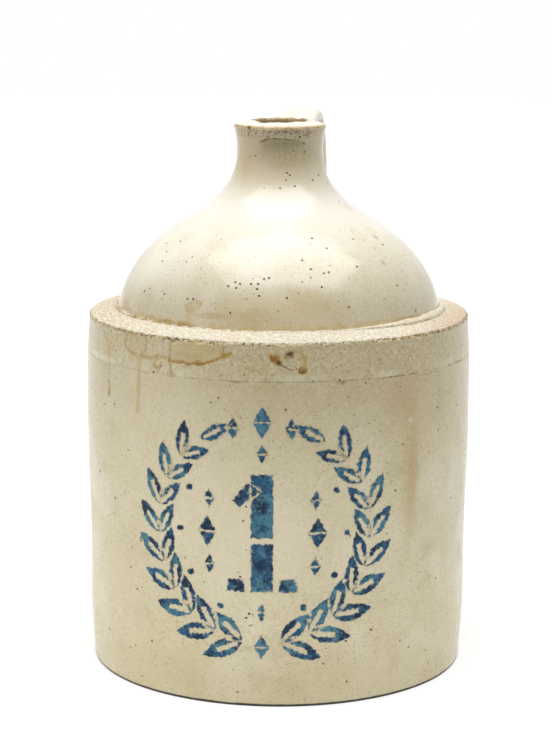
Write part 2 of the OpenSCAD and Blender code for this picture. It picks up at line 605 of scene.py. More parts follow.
class Bench:
    """Adds the nodes of one material, or of the world."""

    def __init__(self, owner: bpy.types.ID) -> None:
        """Starts with an empty tree.

        Args:
            owner: The material or the world.
        """
        owner.use_nodes = True
        self.tree = owner.node_tree
        self.tree.nodes.clear()

    def add(self, kind: str, inputs: dict[int | str, Any] | None = None,
            **settings: Any) -> bpy.types.Node:
        """Adds a node with its settings and links.

        Args:
            kind: The node's type, without the ShaderNode that starts its name.
            inputs: For each input, by name or number, a value, a socket, or a node that
                gives its first output.
            settings: The node's own properties.

        Returns:
            The node.
        """
        node = self.tree.nodes.new("ShaderNode" + kind)
        for key, value in settings.items():
            setattr(node, key, value)
        for key, value in (inputs or {}).items():
            source = value.outputs[0] if isinstance(value, bpy.types.Node) else value
            if isinstance(source, bpy.types.NodeSocket):
                self.tree.links.new(source, node.inputs[key])
            else:
                node.inputs[key].default_value = source
        return node

    def span(self, value: Source, start: float, full: float, low: float = 0.0,
             high: float = 1.0) -> Source:
        """A mask that changes smoothly along a value.

        Args:
            value: What it follows.
            start: The value at which the mask is low.
            full: The value at which it is high.
            low: The mask's level at the start.
            high: Its level at the end.

        Returns:
            The mask.
        """
        return self.add("MapRange", {
            "Value": value, "From Min": start, "From Max": full, "To Min": low, "To Max": high},
            interpolation_type="SMOOTHSTEP")

    def joined(self, operation: str, values: Iterable[Source]) -> Source:
        """Joins values, one after the other, by an operation on two of them."""
        return reduce(lambda held, value: self.add(
            "Math", {0: held, 1: value}, operation=operation), values)

    def both(self, *masks: Source) -> Source:
        """Where all the masks hold: their product."""
        return self.joined("MULTIPLY", masks)

    def either(self, *masks: Source) -> Source:
        """Where any of the masks holds: their maximum."""
        return self.joined("MAXIMUM", masks)

    def backdrop(self, lit: Source, shown: Source) -> Source:
        """Lights the jug by one shader and shows another as the background.

        Args:
            lit: The shader that lights it.
            shown: The shader for the camera's rays, and for mirrored and refracted ones.

        Returns:
            The two as one shader.
        """
        rays = self.add("LightPath").outputs
        seen = self.either(*(rays[f"Is {kind} Ray"]
                             for kind in ("Camera", "Glossy", "Transmission")))
        return self.add("MixShader", {0: seen, 1: lit, 2: shown})


class ClayBench(Bench):
    """Builds one material of the jug, layer by layer, on its Object coordinates.

    Patterns and dots are given by their real sizes in millimetres, heights in metres.
    """

    def __init__(self, name: str, colour: str) -> None:
        """Starts a material.

        Args:
            name: The material's name.
            colour: The colour under all its layers.
        """
        self.material = bpy.data.materials.new(name)
        super().__init__(self.material)
        self.place = self.add("TexCoord").outputs["Object"]
        self.x, self.y, self.z = self.add("SeparateXYZ", {0: self.place}).outputs
        self.colour: Any = linear(colour)
        self.relief: Any = 0.0

    def unrolled(self, radius: float) -> Source:
        """Coordinates on the skin rolled out flat: x round the jug from its front, z up."""
        turn = self.add("Math", {0: self.x, 1: self.both(self.y, -1.0)},
                        operation="ARCTAN2")
        return self.add("CombineXYZ", {0: self.both(turn, radius), 2: self.z})

    def wandering(self, size: float, reach: float, base: Source | None = None,
                  detail: float = 2.0) -> Source:
        """Coordinates that wander, so that what is drawn on them has an uneven edge.

        Args:
            size: Distance between one bend and the next.
            reach: How far a place wanders.
            base: The coordinates that wander; the Object coordinates if none are given.
            detail: Octaves of finer bends.

        Returns:
            The coordinates.
        """
        bends = self.add("TexNoise", {
            "Vector": self.place, "Scale": 1 / (size * MM), "Detail": detail})
        centred = self.add("VectorMath", {0: bends.outputs["Color"], 1: (0.5,) * 3},
                           operation="SUBTRACT")
        return self.add("VectorMath", {
            0: centred, 1: (2 * reach * MM,) * 3, 2: base or self.place}, operation="MULTIPLY_ADD")

    def cloud(self, size: float, low: float, high: float, detail: float = 2.0) -> Source:
        """A cloudy mask.

        Args:
            size: Size of its clouds.
            low: Noise level at which the mask is 0.
            high: Noise level at which it is 1.
            detail: Octaves of finer cloud in it.

        Returns:
            The mask.
        """
        return self.span(self.add("TexNoise", {
            "Vector": self.place, "Scale": 1 / (size * MM), "Detail": detail}), low, high)

    def band(self, low: float, high: float, soft: float, wander: Source | None = None) -> Source:
        """A mask that holds between two heights.

        Args:
            low: Lower edge.
            high: Upper edge.
            soft: Length over which each edge fades.
            wander: Coordinates to read the height from, where the edges wander.

        Returns:
            The mask.
        """
        height = self.z if wander is None else (
            self.add("SeparateXYZ", {0: wander}).outputs[2])
        return self.both(self.span(height, low - soft / 2, low + soft / 2),
                         self.span(height, high + soft / 2, high - soft / 2))

    def radius(self) -> Source:
        """Distance from the jug's axis."""
        flat = self.add("CombineXYZ", {0: self.x, 1: self.y})
        return self.add("VectorMath", {0: flat}, operation="LENGTH").outputs[1]

    def paint(self, ink: str, weight: float, *masks: Source) -> None:
        """Lays an ink over the colour so far.

        Args:
            ink: Its colour.
            weight: How strongly it covers, from 0 to 1.
            masks: It is laid where all of them hold.
        """
        laid = self.add("Mix", {
            MIX_FACTOR: self.both(*masks, weight), MIX_UNDER: self.colour,
            MIX_OVER: linear(ink)}, data_type="RGBA")
        self.colour = laid.outputs[MIX_RESULT]

    def raise_by(self, height: float, mask: Source) -> None:
        """Adds relief of a real height, or of a depth where it is negative."""
        self.relief = self.add("Math", {0: mask, 1: height, 2: self.relief},
                               operation="MULTIPLY_ADD")

    def specks(self, gap: float, radius: float, seed: float = 0.0) -> Source:
        """Round specks strewn through the clay, cut by the skin at all their sizes.

        Args:
            gap: Usual distance between them in the clay.
            radius: The largest one's radius.
            seed: Moves the pattern along.

        Returns:
            The mask.
        """
        moved = self.add("VectorMath", {
            0: self.wandering(SPECK_BEND, 0.16), 1: (seed,) * 3})
        cells = self.add("TexVoronoi", {"Vector": moved, "Scale": 1 / (gap * MM)})
        edge = radius / gap
        return self.span(cells, edge, 0.62 * edge)

    def dots(self, centres: Iterable[Vector], radius: float) -> Source:
        """Specks at chosen places.

        Args:
            centres: Their places.
            radius: Their radius.

        Returns:
            The mask.
        """
        uneven = self.wandering(SPECK_BEND, 0.2)
        gaps = [self.add("VectorMath", {0: uneven, 1: centre},
                         operation="DISTANCE").outputs[1] for centre in centres]
        edge = radius * MM
        return self.span(self.joined("MINIMUM", gaps), edge, 0.6 * edge)

    def stain(self, mark: Mark, centre: Vector, turn: float, skin: Source, blotch: Source) -> None:
        """Paints one mark of the photograph: a stain, or a patch of painted shade.

        Args:
            mark: The mark.
            centre: Its place in the skin's coordinates.
            turn: The skin's turn there about the upright axis.
            skin: The wandering coordinates that it is drawn on.
            blotch: A mask that breaks it up.
        """
        depth = 12 * MM
        local = self.add("Mapping", {
            "Vector": skin, "Location": centre, "Rotation": (0, math.radians(mark.tilt), turn),
            "Scale": (mark.wide * MM / 2, depth, mark.high * MM / 2)}, vector_type="TEXTURE")
        away = self.add("VectorMath", {0: local}, operation="LENGTH").outputs[1]
        ramp = self.add("ValToRGB", {0: away})
        stops = ramp.color_ramp.elements
        while len(stops) < len(mark.edge.value):
            stops.new(1)
        for stop, (share, weight) in zip(stops, mark.edge.value):
            stop.position, stop.color = share, (weight, weight, weight, 1)
        self.paint(mark.ink, mark.weight, ramp, blotch)

    def trickle_and_shade_line(self, run: Run, centres: Sequence[Vector], skin: Source, blotch: Source) -> None:
        """Paints a run's line, as wide as the run says: where liquid ran or dried, and also the
        painted shadow line under the neck's dent.

        Args:
            run: The line.
            centres: Its points in the skin's coordinates.
            skin: The wandering coordinates that it is drawn on.
            blotch: A mask that breaks it up.
        """
        gaps = []
        for a, b in zip(centres, centres[1:]):
            leg = b - a
            away = self.add("VectorMath", {0: skin, 1: a}, operation="SUBTRACT")
            share = self.add("VectorMath", {0: away, 1: leg / leg.length_squared},
                             operation="DOT_PRODUCT").outputs["Value"]
            share = self.add("Clamp", {0: share})
            foot = self.add("VectorMath", {0: leg, "Scale": share}, operation="SCALE")
            gaps.append(self.add("VectorMath", {0: away, 1: foot},
                                 operation="DISTANCE").outputs["Value"])
        width = run.wide * MM
        line = self.span(self.joined("MINIMUM", gaps), width / 2, width / 6)
        self.paint(run.ink, run.weight, line, blotch)

    def fire(self, roughness: Source, ior: float = 1.5, shine: float = 0.5) -> Material:
        """Ends the material with its shader.

        Args:
            roughness: Its roughness, as a value or a mask.
            ior: Its index of refraction.
            shine: Its specular level; 0.5 is that of the plain index.

        Returns:
            The material.
        """
        bump = self.add("Bump", {"Height": self.relief, "Distance": 1.0})
        shader = self.add("BsdfPrincipled", {
            "Base Color": self.colour, "Roughness": roughness, "IOR": ior,
            "Specular IOR Level": shine, "Normal": bump})
        self.add("OutputMaterial", {0: shader})
        return self.material


TAN = "#ab8424"
PALE_TAN = "#c4a75c"
AMBER = "#925f00"
BROWN = "#5c3700"
BLACK = "#361a00"
ROSE = "#c79f78"
MILK = "#f4e8c8"
PALE = "#f3eedd"

# Stains on the wall and the ledge's band, by pixel of the photograph
WALL_MARKS = (
    Mark(108, 346, 9, 14, PALE_TAN, 0.5),
    Mark(109, 391, 2.4, 6, AMBER, 1.0, Edge.BROAD),
    Mark(108, 381, 1.6, 1.8, BROWN, 0.9, Edge.CRISP),
    Mark(135, 345, 11, 16, PALE_TAN, 0.62, Edge.TIDE),
    Mark(138, 386, 3, 27, PALE_TAN, 0.7),
    Mark(150, 357, 14, 4, PALE_TAN, 0.6, tilt=14),
    Mark(196, 352, 30, 12, PALE_TAN, 0.6, Edge.BROAD),
    Mark(186, 357, 20, 6, TAN, 0.4, Edge.BROAD),
    Mark(186, 364.5, 4.4, 2, AMBER, 0.9),
    Mark(199, 363.5, 4.6, 2.6, AMBER, 1.0, Edge.CRISP),
    Mark(199, 364, 2.6, 1.6, BROWN, 0.9),
    Mark(224, 356, 6, 4, TAN, 0.9),
    Mark(224, 355, 3, 2, AMBER, 0.7),
    Mark(171, 375, 5.4, 3, AMBER, 0.85, Edge.TIDE),
    Mark(155, 368, 6, 3.6, TAN, 0.7, Edge.TIDE),
    Mark(172, 341, 3.4, 1.8, BLACK, 0.9),
    Mark(222, 341, 4.6, 1.4, BROWN, 0.9),
    Mark(275.5, 359.5, 8, 5.6, TAN, 1.0, Edge.BROAD, 35),
    Mark(275, 360.5, 5.6, 4, AMBER, 1.0, Edge.CRISP, 35),
    Mark(279, 364, 3, 2, BLACK, 1.0, Edge.BROAD),
    Mark(289.5, 355.5, 6, 4.4, AMBER, 0.8, Edge.BROAD),
    Mark(290, 354.5, 4, 2.4, BLACK, 1.0, Edge.BROAD, -20),
    Mark(302.5, 371, 5, 4, AMBER, 1.0, Edge.CRISP),
    Mark(303, 372, 3.4, 2, BROWN, 0.9),
    Mark(303, 361, 5, 10, PALE_TAN, 0.6),
    Mark(235, 382, 8.5, 1.2, BROWN, 0.75),
    Mark(342, 382.5, 6, 2.6, BROWN, 0.8),
    Mark(430, 373, 22, 1, BROWN, 0.5),
    Mark(404, 398, 28, 26, ROSE, 0.45),
    Mark(413, 476, 9, 54, ROSE, 0.45),
    Mark(222, 540, 96, 84, MILK, 0.7),
    Mark(166, 436, 96, 110, MILK, 0.62),
    Mark(296, 530, 110, 130, MILK, 0.5),
    Mark(411, 466, 15, 90, "#b09440", 0.35),
    Mark(141, 539, 2.4, 3.4, AMBER, 1.0, Edge.CRISP),
    Mark(411, 420, 3.4, 3.4, PALE, 0.6),
    Mark(253, 616, 2.6, 1, BROWN, 1.0, tilt=38),
    Mark(251, 626, 2.4, 0.9, BROWN, 1.0, tilt=-8),
)
# Lines where rust and glaze ran down from the ledge, by pixels of the photograph
WALL_RUNS = (
    Run(((103, 332), (108, 345), (109, 362), (109, 392)), 2.2, TAN, 0.4),
    Run(((118, 334), (113, 345), (109, 352)), 2.2, PALE_TAN, 0.55),
    Run(((127, 334), (124, 343), (128, 350), (134, 355)), 2.2, TAN, 0.55),
    Run(((145, 336), (146, 346), (141, 355)), 2.2, TAN, 0.45),
    Run(((136, 354), (139, 361), (138, 384), (137, 412)), 3.2, PALE_TAN, 0.55),
    Run(((140, 356), (150, 358), (158, 356), (169, 359)), 2.6, TAN, 0.5),
    Run(((157, 358), (153, 365), (159, 369), (161, 362)), 2, TAN, 0.5),
    Run(((170, 342), (169, 360), (171, 375)), 2.4, TAN, 0.55),
    Run(((168, 360), (187, 363), (200, 364.5), (214, 360), (230, 354)), 2.2, TAN, 0.8),
    Run(((172, 362), (187, 364), (200, 364.5), (214, 361), (222, 357)), 1, AMBER, 0.7),
    Run(((222, 342), (224, 357)), 1.6, TAN, 0.6),
    Run(((279, 364), (287, 368), (293, 370)), 0.9, BROWN, 0.8),
    Run(((294, 352), (301, 353), (306, 360), (304, 370)), 2, TAN, 0.5),
)
WALL_DOTS = ((244, 362), (244, 375), (249, 614), (246, 618), (346, 641), (347, 682), (437, 666),
             (396, 491), (218, 398), (313, 382), (366, 383), (340, 380), (208, 364), (153, 372),
             (137, 589), (240, 577), (246, 507), (243, 521), (114, 404), (130, 647), (391, 377))

# Stains on the dome, by pixel of the photograph
DOME_MARKS = (
    Mark(193, 306, 9, 5, TAN, 0.62, Edge.TIDE, -20),
    Mark(189, 314, 6, 8, PALE_TAN, 0.5),
    Mark(212, 316, 22, 4, TAN, 0.5),
    Mark(170, 322, 34, 2.6, TAN, 0.6),
    Mark(186, 326, 16, 1.8, AMBER, 0.6),
    Mark(124, 306, 18, 12, TAN, 0.62),
    Mark(416, 311, 3.4, 3, BROWN, 0.6),
    Mark(408, 319, 26, 3.6, TAN, 0.5),
    Mark(345, 205, 7, 4, TAN, 0.6, Edge.RING, 30),
    Mark(347, 206, 4, 2, TAN, 0.5, tilt=-50),
    Mark(359, 235, 4, 6, TAN, 0.6, Edge.RING, -35),
    Mark(376, 237, 5, 3, TAN, 0.6),
    Mark(381, 252, 3, 6, TAN, 0.5, Edge.RING, -20),
    Mark(384, 263, 4, 4, TAN, 0.5),
    Mark(280, 312, 110, 26, PALE_TAN, 0.34),
    Mark(148, 266, 44, 50, PALE, 0.5),
)
DOME_DOTS = ((228, 286), (235, 282), (240, 284), (236, 288), (251, 284), (258, 284), (257, 289),
             (259, 296), (264, 279), (269, 278), (187, 299), (193, 299), (144, 291), (164, 294),
             (230, 313), (180, 241), (166, 243), (166, 251), (162, 261), (324, 273), (329, 272),
             (322, 287), (349, 307), (312, 238), (327, 248), (311, 269), (287, 298))

# Stains and specks on the neck, and painted shade under the dent's brow, by pixel of the photograph
NECK_MARKS = (
    Mark(249, 127.5, 2.6, 2, BROWN, 0.9, Edge.BROAD),
    Mark(308, 134, 3.6, 4.6, BROWN, 0.6),
    Mark(286, 131, 20, 4, BROWN, 0.3),
    # Painted shade: the dent's hollow under its brow, laid darker
    Mark(286, 151, 34, 20, "#968957", 0.6),
    Mark(246, 166, 10, 22, "#d6b988", 0.5),
)
# The painted shadow line under the dent's upper edge
NECK_SHADOW_LINES = (
    Run(((259, 142.5), (266, 139.7), (275, 138.7), (286, 139.8), (296, 141.5), (305, 144)),
        1.3, "#54481f", 0.85),
)
NECK_DOTS = ((294, 150), (305, 152), (255, 156), (250, 157), (287, 173), (290, 175), (286, 180),
             (319, 175), (313, 180), (280, 188), (295, 186), (233, 194), (286, 132), (276, 134),
             (291, 134), (300, 137), (248, 135))


@dataclass(frozen=True)
class GlazeRecipe:
    """A stoneware zinc glaze: an opaque, warm grey cream glass about 0.3 mm thick.

    It is dipped and fired in a coal kiln, which gives the eye a soft gloss over orange peel,
    iron specks that burn through, and tan where it lies thin.
    """

    colour: str
    thick: str
    thin: str
    pits: str
    roughness: float
    peel_depth: float
    grain: float
    grain_size: float = 1.1
    mottle_size: float = 26
    peel_size: float = 2.6
    pit_depth: float = 0.12 * MM
    dull_size: float = 9
    dull_rise: float = 0.1

    def start(self, name: str, drained: Iterable[tuple[float, float, float]] = ()) -> ClayBench:
        """Lays the glaze itself: its clouds, grain, iron specks and orange peel.

        Args:
            name: The material's name.
            drained: Where it lies thin: the height at which that starts, the height at which
                it is full, and how thin it gets.

        Returns:
            The bench.
        """
        bench = ClayBench(name, self.colour)
        bench.paint(self.thick, 0.6, bench.cloud(self.mottle_size, 0.42, 0.68))
        bench.paint(self.thin, 0.35, bench.cloud(self.mottle_size * 0.6, 0.5, 0.76, 3))
        for start, full, share in drained:
            bench.paint(self.thin, share, bench.span(bench.z, start, full))
        # Real grain is finer: it is drawn coarse enough to show
        bench.paint(self.pits, self.grain, bench.cloud(self.grain_size, 0.5, 0.74, 4))
        bench.paint(self.thick, 0.7 * self.grain, bench.cloud(self.grain_size * 1.4, 0.46, 0.74, 4))
        bench.paint(self.pits, 0.5, bench.specks(2.8, 0.36))
        bench.paint(BROWN, 0.85, bench.specks(4.6, 0.42, 0.19))
        large = bench.specks(9, 0.7, 0.37)
        bench.paint(BLACK, 0.95, large)
        bench.raise_by(self.peel_depth, bench.cloud(self.peel_size, 0.2, 0.8, 1))
        bench.raise_by(self.peel_depth * 0.3, bench.cloud(self.peel_size * 0.35, 0.2, 0.8, 1))
        bench.raise_by(-self.pit_depth, large)
        return bench

    def end(self, bench: ClayBench, shine: float = 0.5) -> Material:
        """Fires the glaze, a little duller in patches.

        Args:
            bench: The bench with the glaze on it.
            shine: Its specular level.

        Returns:
            The material.
        """
        dull = bench.cloud(self.dull_size, 0.35, 0.75)
        rough = bench.add("Math", {0: dull, 1: self.dull_rise, 2: self.roughness},
                          operation="MULTIPLY_ADD")
        return bench.fire(rough, shine=shine)


class Finishes:
    """All finishes of the jug."""

    def __init__(self, sizes: JugSizes, photo: Photo) -> None:
        """Fires each finish.

        Args:
            sizes: The jug's sizes.
            photo: The photograph's camera, which places its marks.
        """
        self.sizes, self.photo = sizes, photo
        self.body_glaze = GlazeRecipe(
            colour="#e0d4ae", thick="#f0e7cc", thin="#b7a778", pits="#8f7844",
            roughness=0.24, peel_depth=0.018 * MM, grain=0.4)
        self.top_glaze = GlazeRecipe(
            colour="#e0d8c0", thick="#f2ece0", thin="#b6a77a", pits="#937f4c",
            roughness=0.14, peel_depth=0.010 * MM, grain=0.26)
        self.wall = self.fire_wall()
        self.band = self.fire_band()
        self.dome = self.fire_dome()
        self.neck = self.fire_neck()
        self.handle = self.fire_handle()
        self.clay = self.fire_clay()
        self.slip = self.fire_slip()
        self.lining = self.fire_lining()
        self.cobalt = self.fire_cobalt()

    def unroll(self, point: Vector) -> Vector:
        """A point of the wall in the coordinates of its rolled out skin."""
        return Vector((math.atan2(point.x, -point.y) * self.sizes.belly_r, 0, point.z))

    def put_marks(self, bench: ClayBench, marks: Iterable[Mark], dots: Iterable[tuple[int, int]],
                  low: float, high: float, runs: Iterable[Run] = (), upright: bool = False) -> None:
        """Paints the photograph's marks that lie between two heights.

        Args:
            bench: The material's bench.
            marks: Stains of the photograph, and patches of painted shade.
            dots: Pixels of single dark specks.
            low: Lowest height of the piece.
            high: Highest height of the piece.
            runs: Lines of the photograph.
            upright: Whether the piece is a cylinder, whose skin rolls out flat.
        """
        flat = self.unroll if upright else Vector
        base = bench.unrolled(self.sizes.belly_r) if upright else bench.place
        skin = bench.wandering(3.4, 1.2 if upright else 0.5, base, 5)
        blotch = bench.span(bench.cloud(1.7, 0.3, 0.54, 3), 0, 1, 0.5, 1)
        for mark in marks:
            centre = self.photo.point_on(mark.x, mark.y)
            reach = mark.high * MM / 2
            if low - reach < centre.z < high + reach:
                turn = 0.0 if upright else math.atan2(centre.x, -centre.y)
                bench.stain(mark, flat(centre), turn, skin, blotch)
        lowest, highest = low - MM, high + MM
        for run in runs:
            points = [self.photo.point_on(x, y) for x, y in run.pixels]
            if any(lowest < p.z < highest for p in points):
                bench.trickle_and_shade_line(run, [flat(p) for p in points], skin, blotch)
        centres = [self.photo.point_on(x, y) for x, y in dots]
        held = [c for c in centres if lowest < c.z < highest]
        if held:
            mask = bench.dots(held, DOT_R)
            bench.paint(BLACK, 0.95, mask)
            bench.raise_by(-DOT_DEPTH, mask)

    def seam_line(self, bench: ClayBench) -> None:
        """Paints the joint of the wall and the ring: a fine brown line that breaks up, with a
        painted highlight in a pale band just above it.

        Args:
            bench: The wall's or the ring's bench.
        """
        joint = self.sizes.joint_z
        wander = bench.wandering(8, 0.35)
        line = bench.band(joint - 0.3 * MM, joint + 0.3 * MM, 0.6 * MM, wander)
        right = bench.span(bench.x, 45 * MM, 85 * MM, 0.35, 1)
        bench.paint(BROWN, 0.8, line, right, bench.cloud(5, 0.48, 0.6, 4))
        # Painted highlight: a pale band just above the joint.
        seam_highlight = bench.band(joint + 0.2 * MM, joint + 3 * MM, 2 * MM)
        bench.paint(PALE, 0.4, seam_highlight, bench.cloud(12, 0.36, 0.62, 3))

    def start_wall(self, name: str) -> ClayBench:
        """Lays the wall's glaze, which ran down and lies thinner towards the top.

        Args:
            name: The material's name.

        Returns:
            The bench.
        """
        bench = self.body_glaze.start(name, [(88 * MM, self.sizes.joint_z, 0.58)])
        bench.paint("#cfc090", 0.36, bench.span(bench.z, 34 * MM, 6 * MM))
        return bench

    def fire_wall(self) -> Material:
        """The moulded wall's glaze: thin at the top, with a line of pinholes round the middle and a
        painted shadow round the foot.

        Returns:
            The material.
        """
        bench = self.start_wall("stoneware_zinc_glaze_wall")
        hole_z = 99 * MM
        holes = bench.band(hole_z - 3.4 * MM, hole_z + 7 * MM, 3 * MM)
        bench.paint(BROWN, 0.7, holes, bench.specks(2.6, 0.36, 0.71))
        self.seam_line(bench)
        # Painted shadow: a dark band round the very foot, where the jug stands on the floor.
        contact_shadow = bench.band(-MM, 1.3 * MM, 0.4 * MM, bench.wandering(4, 0.25))
        bench.paint("#140800", 0.97, contact_shadow)
        self.put_marks(bench, WALL_MARKS, WALL_DOTS, 0, self.sizes.joint_z, WALL_RUNS, upright=True)
        return self.body_glaze.end(bench)

    def fire_band(self) -> Material:
        """The ring's glaze, which was wiped off the ledge before firing and broke at its arris.

        Returns:
            The material.
        """
        s = self.sizes
        coarse = replace(self.body_glaze, grain=0.62)
        bench = coarse.start("stoneware_zinc_glaze_band", [(s.joint_z - MM, s.joint_z, 0.62)])
        self.seam_line(bench)
        self.put_marks(bench, WALL_MARKS, WALL_DOTS, s.joint_z, s.ledge_z, WALL_RUNS, upright=True)
        wander = bench.wandering(2.2, 0.5)
        bare = bench.band(s.ledge_z - 0.5 * MM, s.ledge_z + 9 * MM, 0.3 * MM, wander)
        bench.paint("#d0c7b2", 1.0, bare)
        bench.paint("#b39a76", 0.4, bare, bench.span(bench.x, -16 * MM, -78 * MM))
        bench.paint("#a58b60", 0.5, bare, bench.cloud(0.7, 0.52, 0.6, 2))
        bench.paint("#efeadc", 0.8, bare, bench.cloud(1.0, 0.5, 0.62, 3))
        bench.paint("#b48c64", 0.45, bare, bench.span(bench.x, 66 * MM, 90 * MM))
        bench.paint(BROWN, 0.7, bare, bench.specks(1.8, 0.34, 0.19))
        self.burn_arris(bench, wander)
        bench.raise_by(0.16 * MM, bench.both(bare, bench.cloud(0.9, 0.25, 0.75, 3)))
        rough = bench.add("MapRange", {
            "Value": bare, "To Min": self.body_glaze.roughness + 0.05, "To Max": 0.85})
        return bench.fire(rough)

    def burn_arris(self, bench: ClayBench, wander: Source) -> None:
        """Browns the ledge's arris where the glaze drew back: little in front, more elsewhere.

        Args:
            bench: The ring's bench.
            wander: Coordinates that give the burn its uneven edge.
        """
        edge = self.sizes.ledge_z
        arris = bench.band(edge - 1.5 * MM, edge - 0.3 * MM, 0.5 * MM, wander)
        behind = bench.span(bench.y, 0, 30 * MM)
        right = bench.either(bench.span(bench.x, 50 * MM, 70 * MM), behind)
        left = bench.either(bench.span(bench.x, -3 * MM, -25 * MM), behind)
        bench.paint(TAN, 0.5, arris, bench.either(left, right), bench.cloud(5, 0.4, 0.6, 3))
        bench.paint(BROWN, 0.8, arris, left, bench.cloud(1.3, 0.52, 0.58, 3))
        bench.paint(BROWN, 0.7, arris, right, bench.cloud(1.6, 0.5, 0.58, 3))
        bench.paint(BLACK, 0.9, arris, bench.cloud(1.2, 0.58, 0.63, 3))

    def veil(self, bench: ClayBench) -> None:
        """Tans the glaze from the dome's top upwards, where it drained from the throat."""
        low = self.sizes.collar_z - 9 * MM
        bench.paint("#d2c098", 0.52, bench.span(bench.z, low, low + 16 * MM))

    def fire_dome(self) -> Material:
        """The dome's glaze, thicker and glossier than the wall's, and thinner at its foot.

        Returns:
            The material.
        """
        s, seat = self.sizes, self.sizes.seat_z
        bench = self.top_glaze.start("stoneware_zinc_glaze_dome",
                                     [(seat + 36 * MM, seat + 6 * MM, 0.5)])
        bench.paint(self.top_glaze.thick, 0.7, bench.span(bench.z, seat + 28 * MM, seat + 50 * MM))
        self.veil(bench)
        foot = bench.band(seat - MM, seat + 2.6 * MM, 3 * MM, bench.wandering(4, 0.6))
        bench.paint(PALE_TAN, 0.6, foot, bench.cloud(4, 0.3, 0.62, 3))
        left = bench.span(bench.x, -13 * MM, -42 * MM)
        bench.paint("#8e6a20", 0.4, foot, left, bench.cloud(2, 0.48, 0.6, 4))
        self.put_marks(bench, DOME_MARKS, DOME_DOTS, seat, s.collar_z)
        return self.top_glaze.end(bench)

    def fire_neck(self) -> Material:
        """The neck's glaze, which drew back under the lip and burnt there, with its crown painted
        paler, partly as a painted highlight, its bore painted darker as painted shade, and painted
        shade and a shadow line under the dent's brow.

        Returns:
            The material.
        """
        s, lip = self.sizes, self.sizes.lip_z + self.sizes.lip_lift
        bench = self.top_glaze.start("stoneware_zinc_glaze_neck",
                                     [(s.waist_z - 12 * MM, s.waist_z, 0.45)])
        low = bench.span(bench.z, s.waist_z - 8 * MM, s.collar_z + MM)
        bench.paint(self.top_glaze.thick, 0.6, low)
        self.veil(bench)
        wander = bench.wandering(3, 0.4)
        below = bench.band(lip - 5 * MM, lip - 0.6 * MM, 2 * MM, wander)
        front = bench.span(bench.y, -6 * MM, -15 * MM)
        burnt = bench.either(bench.specks(1.5, 0.44, 0.53),
                             bench.cloud(0.8, 0.58, 0.62, 2))
        bench.paint("#5c3c00", 0.9, below, front, burnt)
        # The lip's crown painted paler: partly pale glaze, partly a painted highlight on its
        # upturned top.
        crown = bench.span(bench.z, lip + 0.1 * MM, lip + 0.6 * MM)
        bench.paint("#efe9da", 0.8, crown)
        arris = bench.band(lip - 0.8 * MM, lip + 0.15 * MM, 0.5 * MM, wander)
        bench.paint("#a88c3e", 0.6, arris)
        bench.paint(AMBER, 0.9, arris, bench.cloud(1.6, 0.52, 0.6, 3))
        # Painted shade inside the mouth: the bore's cream glaze laid darker.
        bore = bench.span(bench.radius(), s.mouth_r + 1.7 * MM, s.mouth_r + 0.7 * MM)
        bench.paint("#9c8a5c", 0.9, bore)
        edge = bench.span(bench.radius(), s.mouth_r + 3 * MM, s.mouth_r + 2.2 * MM)
        bench.paint(AMBER, 0.6, edge, crown, bench.cloud(2.4, 0.44, 0.58, 3))
        # Painted shade: darker again further down the bore, towards the brown lining.
        deep = bench.span(bench.z, s.top_z - 5 * MM, s.top_z - 14 * MM)
        bench.paint("#6b5634", 0.8, bore, deep)
        self.put_marks(bench, NECK_MARKS, NECK_DOTS, s.collar_z, s.top_z, NECK_SHADOW_LINES)
        return self.top_glaze.end(bench)

    def fire_handle(self) -> Material:
        """The strap's glaze, painted paler in broad clouds as a painted highlight for the strongly
        lit strap.

        Returns:
            The material.
        """
        bench = self.top_glaze.start("stoneware_zinc_glaze_handle")
        # Painted highlight: the strap's glaze laid paler.
        bench.paint("#f6f0e0", 0.5, bench.cloud(30, 0.1, 0.4))
        return self.top_glaze.end(bench)

    def fire_clay(self) -> Material:
        """Bare stoneware clay, wiped or cut and fired: matte and sandy, with iron grains.

        Returns:
            The material.
        """
        bench = ClayBench("bare_stoneware_clay", "#d9cbae")
        bench.paint("#b9a37e", 0.5, bench.cloud(7, 0.4, 0.7, 3))
        bench.paint("#e6dcc6", 0.6, bench.cloud(1.6, 0.5, 0.66, 3))
        bench.paint(BROWN, 0.7, bench.specks(3, 0.34))
        bench.raise_by(0.14 * MM, bench.cloud(0.9, 0.25, 0.75, 3))
        return bench.fire(0.88)

    def fire_slip(self) -> Material:
        """Slip squeezed from the dome's joint: half bare clay, half thin tan glaze.

        Returns:
            The material.
        """
        seat, bench = self.sizes.seat_z, self.top_glaze.start("luting_slip")
        bench.paint("#c9ba94", 0.5, bench.cloud(5, 0.45, 0.65, 3))
        left = bench.span(bench.x, 13 * MM, -38 * MM, 0.25, 1)
        bench.paint(TAN, 0.75, left, bench.cloud(4, 0.36, 0.6, 3))
        bench.paint(BROWN, 0.6, left, bench.cloud(1.6, 0.5, 0.62, 4))
        # A broken brown line at the dome's foot: brown dots, and partly painted shade in the
        # crevice between dome and ledge.
        edge = bench.band(seat - MM, seat + 0.3 * MM, 0.3 * MM)
        bench.paint(BROWN, 0.4, edge, bench.cloud(3, 0.46, 0.6, 3))
        bench.raise_by(0.08 * MM, bench.cloud(1.2, 0.25, 0.75, 3))
        return bench.fire(0.4)

    def fire_lining(self) -> Material:
        """Brown slip glaze, poured in and out again: a dark, glassy red brown lining.

        Returns:
            The material.
        """
        bench = ClayBench("brown_slip_glaze", "#4a3220")
        bench.paint("#6b4a2c", 0.7, bench.cloud(6, 0.45, 0.65, 3))
        bench.raise_by(0.01 * MM, bench.cloud(2.4, 0.2, 0.8, 1))
        return bench.fire(0.16, 1.52)

